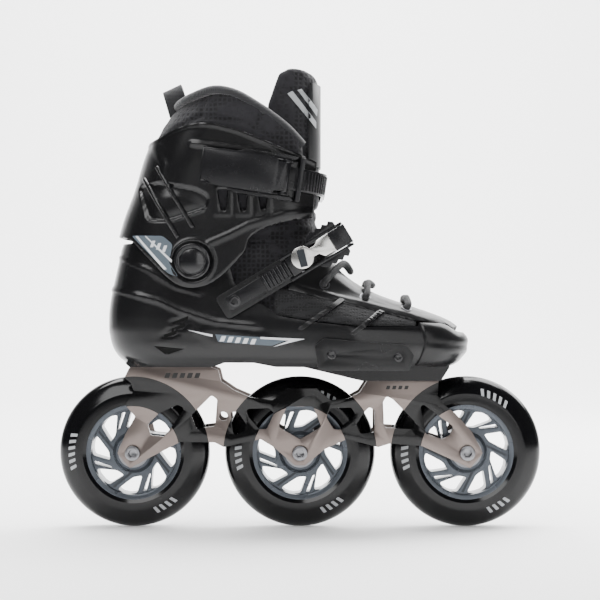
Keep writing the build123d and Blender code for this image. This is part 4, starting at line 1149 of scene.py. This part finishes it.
def make_shell(settings):
    """The shell's outer skin with its ledges and vents, the toe bumper, vamp, mesh vents and ribs."""
    spacing = settings.skin_spacing / MM
    lower = [(90, 121), (-131, 121)]
    upper = rounded([
        (90, 148), (83, 147), (41, 146.7), (11, 150), (-15, 154.5), (-46, 176),
        (-52, 196), (-58, 207.5), (-96, 206), (-128, 205.5), (-137, 198),
    ], 4, closed=False)
    outline = wrap(FOOT, lower, upper, 1.6)
    lip = np.array([(-140, 199), (-129, 196), (-108, 187), (-88, 175), (-70, 170)])
    ledge = np.array([(-140, 174), (-128, 172), (-100, 165), (-86, 158.5), (-60, 150), (-30, 147)])
    vents = [
        [(-90.5, 150), (-79, 154.5), (-79.5, 151.8), (-90.5, 147.6)],
        [(-91.5, 145.5), (-81, 149.4), (-82, 146.3), (-91.3, 142.9)],
        [(-97, 141), (-87, 144.5), (-88.2, 141.4), (-96.4, 138.3)],
    ]
    triangle = [(-104, 133), (-82, 131), (-95, 126.5)]
    shelf = rounded([(-62, 148), (-20, 140), (-10, 134), (-60, 133), (-76, 143)], 3)

    def relief(spots, side, base):
        height = ridge(spots, lip, 0.8, 2.0) + ridge(spots, ledge, 1.0, 2.4)
        for vent in vents:
            height = height + raised(spots, rounded(vent, 0.6), -0.95, 0.8)
        height = height + raised(spots, rounded(triangle, 1.2), -0.95, 1.0)
        height = height + raised(spots, shelf, 0.35, 1.2)
        return height

    shell = skin("shell_skin", FOOT, outline, (), relief, 0.3, 0.5, spacing, edge=0.5, smooth=60)
    place(shell, "boot", "shell_plastic")
    target = surface_of(shell)
    for side, label in SIDES:
        field = [[(-60, 141.4), (-30, 139.6), (-6, 138.4), (-20, 133.4), (-58, 136.0)]]
        decal(f"shell_field_{label}", target, field, side, "mark_blue", "boot", 0.12)
        stripe = [
            [(-80, 144.6), (-62, 141.2), (-62, 139.6), (-68, 141)],
            [(-28, 139.6), (3.5, 138.2), (-19, 132.6), (-8, 137.0), (-28, 138.2)],
        ]
        decal(f"shell_stripe_{label}", target, stripe, side, "mark_light", "boot", 0.2, corner=0.2)
        bars = slanted_bars((-57, 136.4), (5.4, -0.5), 5, (3.2, 3.8), 1.6)
        decal(f"shell_bars_{label}", target, bars, side, "mark_light", "boot", 0.3)
        # painted shade: near-black marks over the sunk vents and triangle
        decal(f"shell_vent_shade_{label}", target, [*vents, triangle], side, "mark_vent_shade", "boot", 0.05)

    bumper_low = [(82, 119.6), (119, 119.6)]
    bumper_up = rounded([(84, 149.3), (102, 148.4), (113, 142), (119, 141.6)], 3, closed=False)
    crease = np.array([(86, 133), (102, 130), (122, 129)])

    pad = rounded([(84, 147), (101, 146), (114, 139), (125, 139), (125, 134), (86, 138)], 2)

    def bump(spots, side, base):
        return ridge(spots, crease, 0.8, 3.0) + raised(spots, pad, 0.5, 2)

    outline = wrap(FOOT, bumper_low, bumper_up, 1.4, "front")
    bumper = skin("toe_bumper_skin", FOOT, outline, (), bump, 1.5, 2.4, spacing, around="front", smooth=60)
    place(bumper, "boot", "trim_plastic", "toe_bumper")
    make_vamp(spacing)


def throat_way(form, y, z):
    """Way round (0 back, 1 front) where the front of the form passes a given distance from the middle."""
    half = len(form.t) // 2
    widths = -form.rings[form.row(z), half:, 1]
    peak = int(np.argmax(widths))
    return float(np.interp(-y, -widths[peak:], form.t[half + peak:]))


def make_vamp(spacing):
    """The vamp with its open throat, mesh vents on both sides and the two slanting ribs."""
    def carry(line):
        return [(-(1 - FOOT.way(x, z)) * WAY, z) for x, z in densify(line, 1.5, closed=False)]

    outer = carry(rounded([
        (-8, 173.2), (24, 165.6), (48.5, 160), (83, 151.5), (103, 149.6), (112, 144),
    ], 3, closed=False))
    throat = [(-(1 - throat_way(FOOT, 15.0, z)) * WAY, z) for z in np.arange(198, 160, -1.5)]
    slope = carry([(-8, 173.5), (-8, 182), (12, 197)])
    half = slope[1:] + [p for p in throat if p[1] < 197.5]
    front = [(0.0, 160.2)]
    loop = outer[::-1] + half + front + [(-x, z) for x, z in half[::-1]] + [(-x, z) for x, z in outer]
    seam = np.array([(-4, 176), (24, 169), (49, 163), (84, 154.6), (101, 152)])
    rings = [np.array(spot) for spot in eyelet_spots()]

    def relief(spots, side, base):
        height = ridge(spots, seam, 0.5, 1.6)
        for ring in rings:
            height = height + 0.5 * np.clip(1.6 - np.linalg.norm(base - ring, axis=1) / 6, 0, 1)
        return height

    loop = tidy_loop(loop)
    vamp = skin("vamp_skin_piece", FOOT, loop, (), relief, 0.1, 2.2, spacing, around="front", smooth=60)
    place(vamp, "boot", "vamp_skin", "vamp")
    region = [
        (-18, 155.8), (11, 151.2), (41, 147.9), (82, 148), (83, 151.8),
        (48.5, 161), (24, 166.6), (-8, 174), (-18, 173),
    ]
    vents = []
    for side in (-1, 1):
        vents.append(skin("vent", FOOT, side_loop(FOOT, region, side, 1.4), (), None, -0.9, 0.8, 2.2))
    place(join(vents, "vent_mesh_skin"), "boot", "vent_mesh", "vent_mesh")
    bars = [
        [(28.6, 167), (32, 165.5), (1, 144), (-2.2, 145.4)],
        [(56.6, 158.8), (60, 157.3), (38.2, 140.6), (34.8, 142.2)],
    ]
    ribs = []
    for side in (-1, 1):
        for bar in bars:
            outline = side_loop(FOOT, rounded(bar, 0.9), side, 0.9)
            ribs.append(skin("rib", FOOT, outline, (), None, 1.4, 2.2, 1.2, edge=1.1))
    place(join(ribs, "vamp_ribs_skin"), "boot", "trim_plastic", "vamp_ribs")


def eyelet_spots():
    """Centres of the six eyelets."""
    mesh = frame["nodes"]["eyelets"].data
    spots = np.array([tuple(v.co) for v in mesh.vertices]) / MM
    centres = []
    for side in (-1, 1):
        own = spots[spots[:, 1] * side > 0]
        order = own[np.argsort(own[:, 0])]
        cuts = np.where(np.diff(order[:, 0]) > 8)[0]
        for group in np.split(order, cuts + 1):
            centres.append((group.min(axis=0) + group.max(axis=0)) / 2)
    return centres


def make_lace(settings):
    """Round braided lace: straight bars over the tongue, side runs tucked under the vamp."""
    over = BootForm(FOOT_LEVELS, 3.0)
    half = over.grid.shape[1] // 2
    field = over.grid[:, half:].reshape(-1, 3)

    def crown(x, y):
        near = np.argmin((field[:, 0] - x) ** 2 + (np.abs(field[:, 1]) - abs(y)) ** 2)
        return np.array([x, y, field[near, 2]])

    spots = eyelet_spots()
    rows = sorted({round(s[0]) for s in spots if s[1] < 0}, reverse=True)
    reaches = ((77.0, 78.0), (49.0, 53.0), (31.0, 37.0))
    line = []
    for row, x in enumerate(rows):
        order = (-1, 1) if row % 2 == 0 else (1, -1)
        ends = {}
        for side in (-1, 1):
            ends[side] = min((s for s in spots if s[1] * side > 0), key=lambda s: abs(s[0] - x))
        shoulder_x, crown_x = reaches[row]
        first, last = ends[order[0]], ends[order[1]]
        push = np.array([0.10, 0.8, 0.55])
        for eyelet, side, going in ((first, order[0], True), (last, order[1], False)):
            out = push * np.array([1, side, 1])
            turn_over = np.array([1.5, -2.4 * side, 2.0])
            leg = [eyelet - out * 5.4, eyelet + out * 1.6, eyelet + out * 3.6 + turn_over]
            top = [crown(shoulder_x, 17.0 * side) + np.array([0, 0, 0.5])]
            line.extend(leg + top + [crown(crown_x, 0)] if going else top + leg[::-1])
    lace = tube("lace_round", smooth_line(line, 1.2), settings.lace_width / MM / 2, 14)
    place(lace, "boot", "lace_cord", "lace")


def make_padding(settings):
    """Liner collar, liner foot and tongue, with piping round the collar."""
    puff = settings.puff / MM
    foot_seams = [[(-20, 200), (30, 170)], [(-120, 205), (-60, 208)]]
    collar_seams = [
        [(-100, 282), (-70, 296), (-40, 292), (-10, 276)], [(-70, 296), (-66, 318)], [(-30, 290), (-24, 306)],
    ]
    tongue_seams = [[(-18, 262), (12, 262)], [(-12, 318), (12, 312)]]
    pieces = (
        ("liner_foot", "boot", "liner_foot_padded", 3.4, 0.15, foot_seams),
        ("liner_collar", "cuff", "liner_collar_padded", 3.4, puff, collar_seams),
        ("tongue_lower", "boot", "tongue_lower_padded", 2.6, 0.15, []),
        ("tongue_upper", "cuff", "tongue_upper_padded", 2.8, 0.35, tongue_seams),
    )
    for source, body, name, voxel, plump, seams in pieces:
        piece = soft_copy(source, name, voxel, plump, 5, seams)
        place(piece, body, "liner_fabric", source)
    inner = BootForm(SHAFT_LEVELS, -7.0)
    edge = rounded([
        (1.5, 276), (-9, 287.5), (-25.5, 300), (-45, 312), (-61, 315.5), (-80, 309.5), (-96, 303),
    ], 8, closed=False)
    ring = []
    for side in (-1, 1):
        points = []
        for x, z in densify(edge, 2.0, closed=False):
            spot, _ = inner.place([side * inner.way(x, z)], [z])
            points.append(spot[0])
        ring.append(points if side < 0 else points[::-1])
    piping = tube("collar_piping", smooth_line(ring[0] + ring[1], 2.0), 3.3, 14)
    place(piping, "cuff", "webbing")
    neck = BootForm([
        (194.0, -120.0, -24.0, 17.0, 30.0, 31.0, 22.0), (212.0, -114.0, -26.0, 12.5, 30.5, 32.0, 24.0),
        (228.0, -110.0, -28.0, 11.0, 31.0, 32.5, 26.0), (246.0, -106.0, -28.0, 9.0, 31.0, 32.5, 26.0),
    ])

    def folds(spots, side, base):
        return 0.7 * np.sin((spots[:, 1] - 196) / 9.5 * 2 * pi) + 0.2 * np.sin(base[:, 1] * 0.5)

    outline = wrap(neck, [(-130, 195.5), (30, 195.5)], [(-130, 244), (30, 244)], 2.0, "front")
    gusset = skin(
        "ankle_gusset", neck, outline, (), folds, 0.0, 4.0, 2.4, around="front", edge=1.5, smooth=180,
    )
    gusset.data.materials.append(FINISHES["liner_fabric"])
    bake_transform(gusset)
    footbed = soft_copy("footbed", "footbed_foam_piece", 2.2, 0.0, 3, [], 0.1)
    place(footbed, "boot", "footbed_foam", "footbed")
    shield = bpy.data.objects["tongue_shield_finished"]
    target = surface_of(shield, bpy.data.objects["tongue_upper_padded"])
    slashes = [
        [(-2, 316), (1, 317), (12.5, 303), (12, 298)],
        [(-9, 313), (-5.5, 315), (11.5, 294), (11.5, 289)],
    ]
    decal("tongue_slashes", target, slashes, -1, "mark_grey", "cuff", 0.3)
    decal("tongue_slashes_inner", target, slashes, 1, "mark_grey", "cuff", 0.3)


def make_straps():
    """Webbing pull tab and the skinned instep strap with a stitched edge."""
    tab = from_cad("pull_tab", 0.35, segments=3)
    tab.name = "pull_tab_webbing"
    top = max(vertex.co.z for vertex in tab.data.vertices)
    for vertex in tab.data.vertices:
        drop = min(1.0, (top - vertex.co.z) / (12 * MM))
        vertex.co.z -= 9.0 * MM * drop
        vertex.co.x += 3.5 * MM * drop
    strap = from_cad("instep_strap", 0.7, segments=4)
    for vertex in strap.data.vertices:
        vertex.co.y -= 0.9 * MM
    strap.name = "instep_strap_skin"

    def on_strap(*places):
        return strap_outline(INSTEP_SPOT, INSTEP_SLOPE, places)

    panel = on_strap((-7, -5), (40, -5.4), (40, 5.4), (-5, 5.6))
    place(plate("instep_strap_panel", rounded(panel, 2.5), -43.3, -42.3, 0.45), "boot", "buckle_plastic")
    lever = surface_of(bpy.data.objects["instep_lever_finished"])
    # painted shade: a dark band on the lever stands for the shade in its tilted groove
    groove_shade_band = on_strap((52, -4), (57, -5.6), (60.6, 6.2), (55.4, 8))
    decal("instep_lever_groove_shade", lever, [groove_shade_band], -1, "mark_shade", "instep_lever", 0.08)
    target = surface_of(strap)
    stitches = []
    for level in (-6.8, 6.8):
        for s in np.arange(-6, 40, 4.2):
            low, high = level - 0.35, level + 0.35
            stitches.append(on_strap((s, low), (s + 2.6, low), (s + 2.6, high), (s, high)))
    decal("instep_strap_stitches", target, stitches, -1, "trim_plastic", "boot", 0.25, 1.2, 0.15)


def make_frame_marks():
    """Generic printed bars on the frame's outer plate."""
    target = surface_of(frame["nodes"]["frame"])
    for side, label in SIDES:
        bars = slanted_bars((-98, 109.4), (5.4, 0), 5, (3.4, 3.6), 1.2)
        bars += slanted_bars((62, 101.2), (4.4, 0), 4, (2.6, 2.6), 0.8)
        decal(f"frame_marks_{label}", target, bars, side, "mark_dark", "boot", 0.06)


def area_lamp(name, spot, aim, power, size):
    """A soft square lamp at one place, turned to another."""
    light = bpy.data.lights.new(f"{name}_light", "AREA")
    light.energy, light.size = power, size
    lamp = bpy.data.objects.new(f"{name}_light", light)
    lamp.location = spot
    lamp.rotation_euler = (Vector(aim) - Vector(spot)).to_track_quat("-Z", "Y").to_euler()
    bpy.context.scene.collection.objects.link(lamp)


def make_stage(settings):
    """Pale floor and backdrop, soft lights and the camera."""
    half_width, bend_start, bend_radius, top, steps = 9000, 1200, 900, 3500.0, 24
    verts, faces = [], []
    profile = [(-half_width, 0.0), (bend_start, 0.0)]
    for turn in np.linspace(0, pi / 2, steps)[1:]:
        profile.append((bend_start + bend_radius * sin(turn), bend_radius - bend_radius * cos(turn)))
    profile.append((bend_start + bend_radius, top))
    for y, z in profile:
        verts += [(-half_width, y, z - FLOOR_GAP), (half_width, y, z - FLOOR_GAP)]
    for i in range(len(profile) - 1):
        faces.append([2 * i, 2 * i + 1, 2 * i + 3, 2 * i + 2])
    sweep = new_object("studio_sweep", verts, faces, 180)
    sweep.data.materials.append(FINISHES["floor_paint"])
    glow = FINISHES["floor_paint"].node_tree.nodes["Principled BSDF"]
    glow.inputs["Emission Color"].default_value = (1, 1, 1, 1)
    glow.inputs["Emission Strength"].default_value = 0.15
    world = bpy.context.scene.world or bpy.data.worlds.new("Studio")
    bpy.context.scene.world = world
    world.use_nodes = True
    world.node_tree.nodes["Background"].inputs["Color"].default_value = (1, 1, 1, 1)
    world.node_tree.nodes["Background"].inputs["Strength"].default_value = settings.fill_light
    lamps = (
        ("key", (-0.55, -1.0, 1.05), 9.0, 0.8), ("rim", (0.75, 0.55, 0.85), 10.0, 0.7),
        ("low", (0.35, -1.3, 0.35), 1.6, 0.6), ("top", (0.0, -0.1, 1.4), 7.0, 0.7),
    )
    for name, spot, power, size in lamps:
        area_lamp(name, spot, (0, 0, 0.16), power * settings.lamp_power, size)
    area_lamp("backdrop", (0, 0.7, 1.9), (0, 2.1, 0.5), 120.0 * settings.lamp_power, 2.0)
    camera = bpy.data.cameras.new("camera")
    camera.lens, camera.sensor_width = 94.0, 36.0
    view = bpy.data.objects.new("camera", camera)
    view.location = (0.0, -1.15, 0.1657)
    view.rotation_euler = (pi / 2, 0, 0)
    bpy.context.scene.collection.objects.link(view)
    bpy.context.scene.camera = view


def make_plain_nodes():
    """Finishes for the CAD nodes that show as they are."""
    build_finishes()
    for name, piece in frame["nodes"].items():
        piece.data.materials.clear()
        piece.data.materials.append(FINISHES[SLOT_OF[name]])


# ------------------------------------------------------------------ add-on
class SkateSettings(bpy.types.PropertyGroup):
    """Sizes and light of the inline skate's finish."""

    edge_radius: FloatProperty(
        name="Edge Radius", description="Width of the broken edges", default=0.0003, unit="LENGTH",
    )
    skin_spacing: FloatProperty(
        name="Skin Spacing", description="Point spacing on skins", default=0.0017, unit="LENGTH",
    )
    lace_width: FloatProperty(
        name="Lace Width", description="Diameter of the lace", default=0.0049, unit="LENGTH",
    )
    puff: FloatProperty(
        name="Puff", description="How far the collar's padding stands out", default=0.0004, unit="LENGTH",
    )
    mark_inner: FloatProperty(
        name="Mark Inner", description="Tyre mark inner radius", default=0.0425, unit="LENGTH",
    )
    mark_outer: FloatProperty(
        name="Mark Outer", description="Tyre mark outer radius", default=0.0475, unit="LENGTH",
    )
    fill_light: FloatProperty(
        name="Fill Light", description="Strength of the surrounding light", default=0.1, subtype="FACTOR",
        min=0.0, soft_max=1.0,
    )
    lamp_power: FloatProperty(
        name="Lamp Power", description="Power multiplier of the lamps", default=1.7, subtype="FACTOR",
        min=0.0, soft_max=4.0,
    )


class SKATE_OT_finishes(bpy.types.Operator):
    """Make the finishes and put them on the CAD nodes"""

    bl_idname = "skate.finishes"
    bl_label = "Finishes"

    def execute(self, context):
        make_plain_nodes()
        return {"FINISHED"}


class SKATE_OT_hard_pieces(bpy.types.Operator):
    """Build the metal and plastic pieces"""

    bl_idname = "skate.hard_pieces"
    bl_label = "Hard Pieces"

    def execute(self, context):
        make_hard_pieces(context.scene.skate_settings)
        return {"FINISHED"}


class SKATE_OT_wheels(bpy.types.Operator):
    """Build the hubs and print the bars on the tyres"""

    bl_idname = "skate.wheels"
    bl_label = "Wheels"

    def execute(self, context):
        make_wheels(context.scene.skate_settings)
        return {"FINISHED"}


class SKATE_OT_frame_marks(bpy.types.Operator):
    """Print the bars on the frame"""

    bl_idname = "skate.frame_marks"
    bl_label = "Frame Marks"

    def execute(self, context):
        make_frame_marks()
        return {"FINISHED"}


class SKATE_OT_shell(bpy.types.Operator):
    """Build the shell, bumper, vamp, mesh and ribs"""

    bl_idname = "skate.shell"
    bl_label = "Shell"

    def execute(self, context):
        make_shell(context.scene.skate_settings)
        return {"FINISHED"}


class SKATE_OT_cuff(bpy.types.Operator):
    """Build the cuff"""

    bl_idname = "skate.cuff"
    bl_label = "Cuff"

    def execute(self, context):
        make_cuff()
        return {"FINISHED"}


class SKATE_OT_lace(bpy.types.Operator):
    """Build the lace"""

    bl_idname = "skate.lace"
    bl_label = "Lace"

    def execute(self, context):
        make_lace(context.scene.skate_settings)
        return {"FINISHED"}


class SKATE_OT_padding(bpy.types.Operator):
    """Build the liner and tongue"""

    bl_idname = "skate.padding"
    bl_label = "Padding"

    def execute(self, context):
        make_padding(context.scene.skate_settings)
        return {"FINISHED"}


class SKATE_OT_straps(bpy.types.Operator):
    """Build the pull tab and instep strap"""

    bl_idname = "skate.straps"
    bl_label = "Straps"

    def execute(self, context):
        make_straps()
        return {"FINISHED"}


class SKATE_OT_stage(bpy.types.Operator):
    """Build the floor, light and camera"""

    bl_idname = "skate.stage"
    bl_label = "Studio"

    def execute(self, context):
        make_stage(context.scene.skate_settings)
        return {"FINISHED"}


STEPS = [
    SKATE_OT_finishes,
    SKATE_OT_hard_pieces,
    SKATE_OT_wheels,
    SKATE_OT_frame_marks,
    SKATE_OT_shell,
    SKATE_OT_cuff,
    SKATE_OT_lace,
    SKATE_OT_padding,
    SKATE_OT_straps,
    SKATE_OT_stage,
]


class SKATE_PT_panel(bpy.types.Panel):
    """Lists the building steps."""

    bl_idname = "SKATE_PT_panel"
    bl_label = "Inline Skate"
    bl_space_type = "VIEW_3D"
    bl_region_type = "UI"
    bl_category = "Inline Skate"

    def draw(self, context):
        for step in STEPS:
            self.layout.operator(step.bl_idname)


CLASSES = [SkateSettings, *STEPS, SKATE_PT_panel]


def register():
    """Register the add-on."""
    for cls in CLASSES:
        bpy.utils.register_class(cls)
    bpy.types.Scene.skate_settings = bpy.props.PointerProperty(type=SkateSettings)


def unregister():
    """Remove the add-on."""
    del bpy.types.Scene.skate_settings
    for cls in reversed(CLASSES):
        bpy.utils.unregister_class(cls)


def main():
    """Build the whole skate."""
    register()
    for step in STEPS:
        getattr(bpy.ops.skate, step.bl_idname.split(".")[1])()


if __name__ == "__main__":
    main()
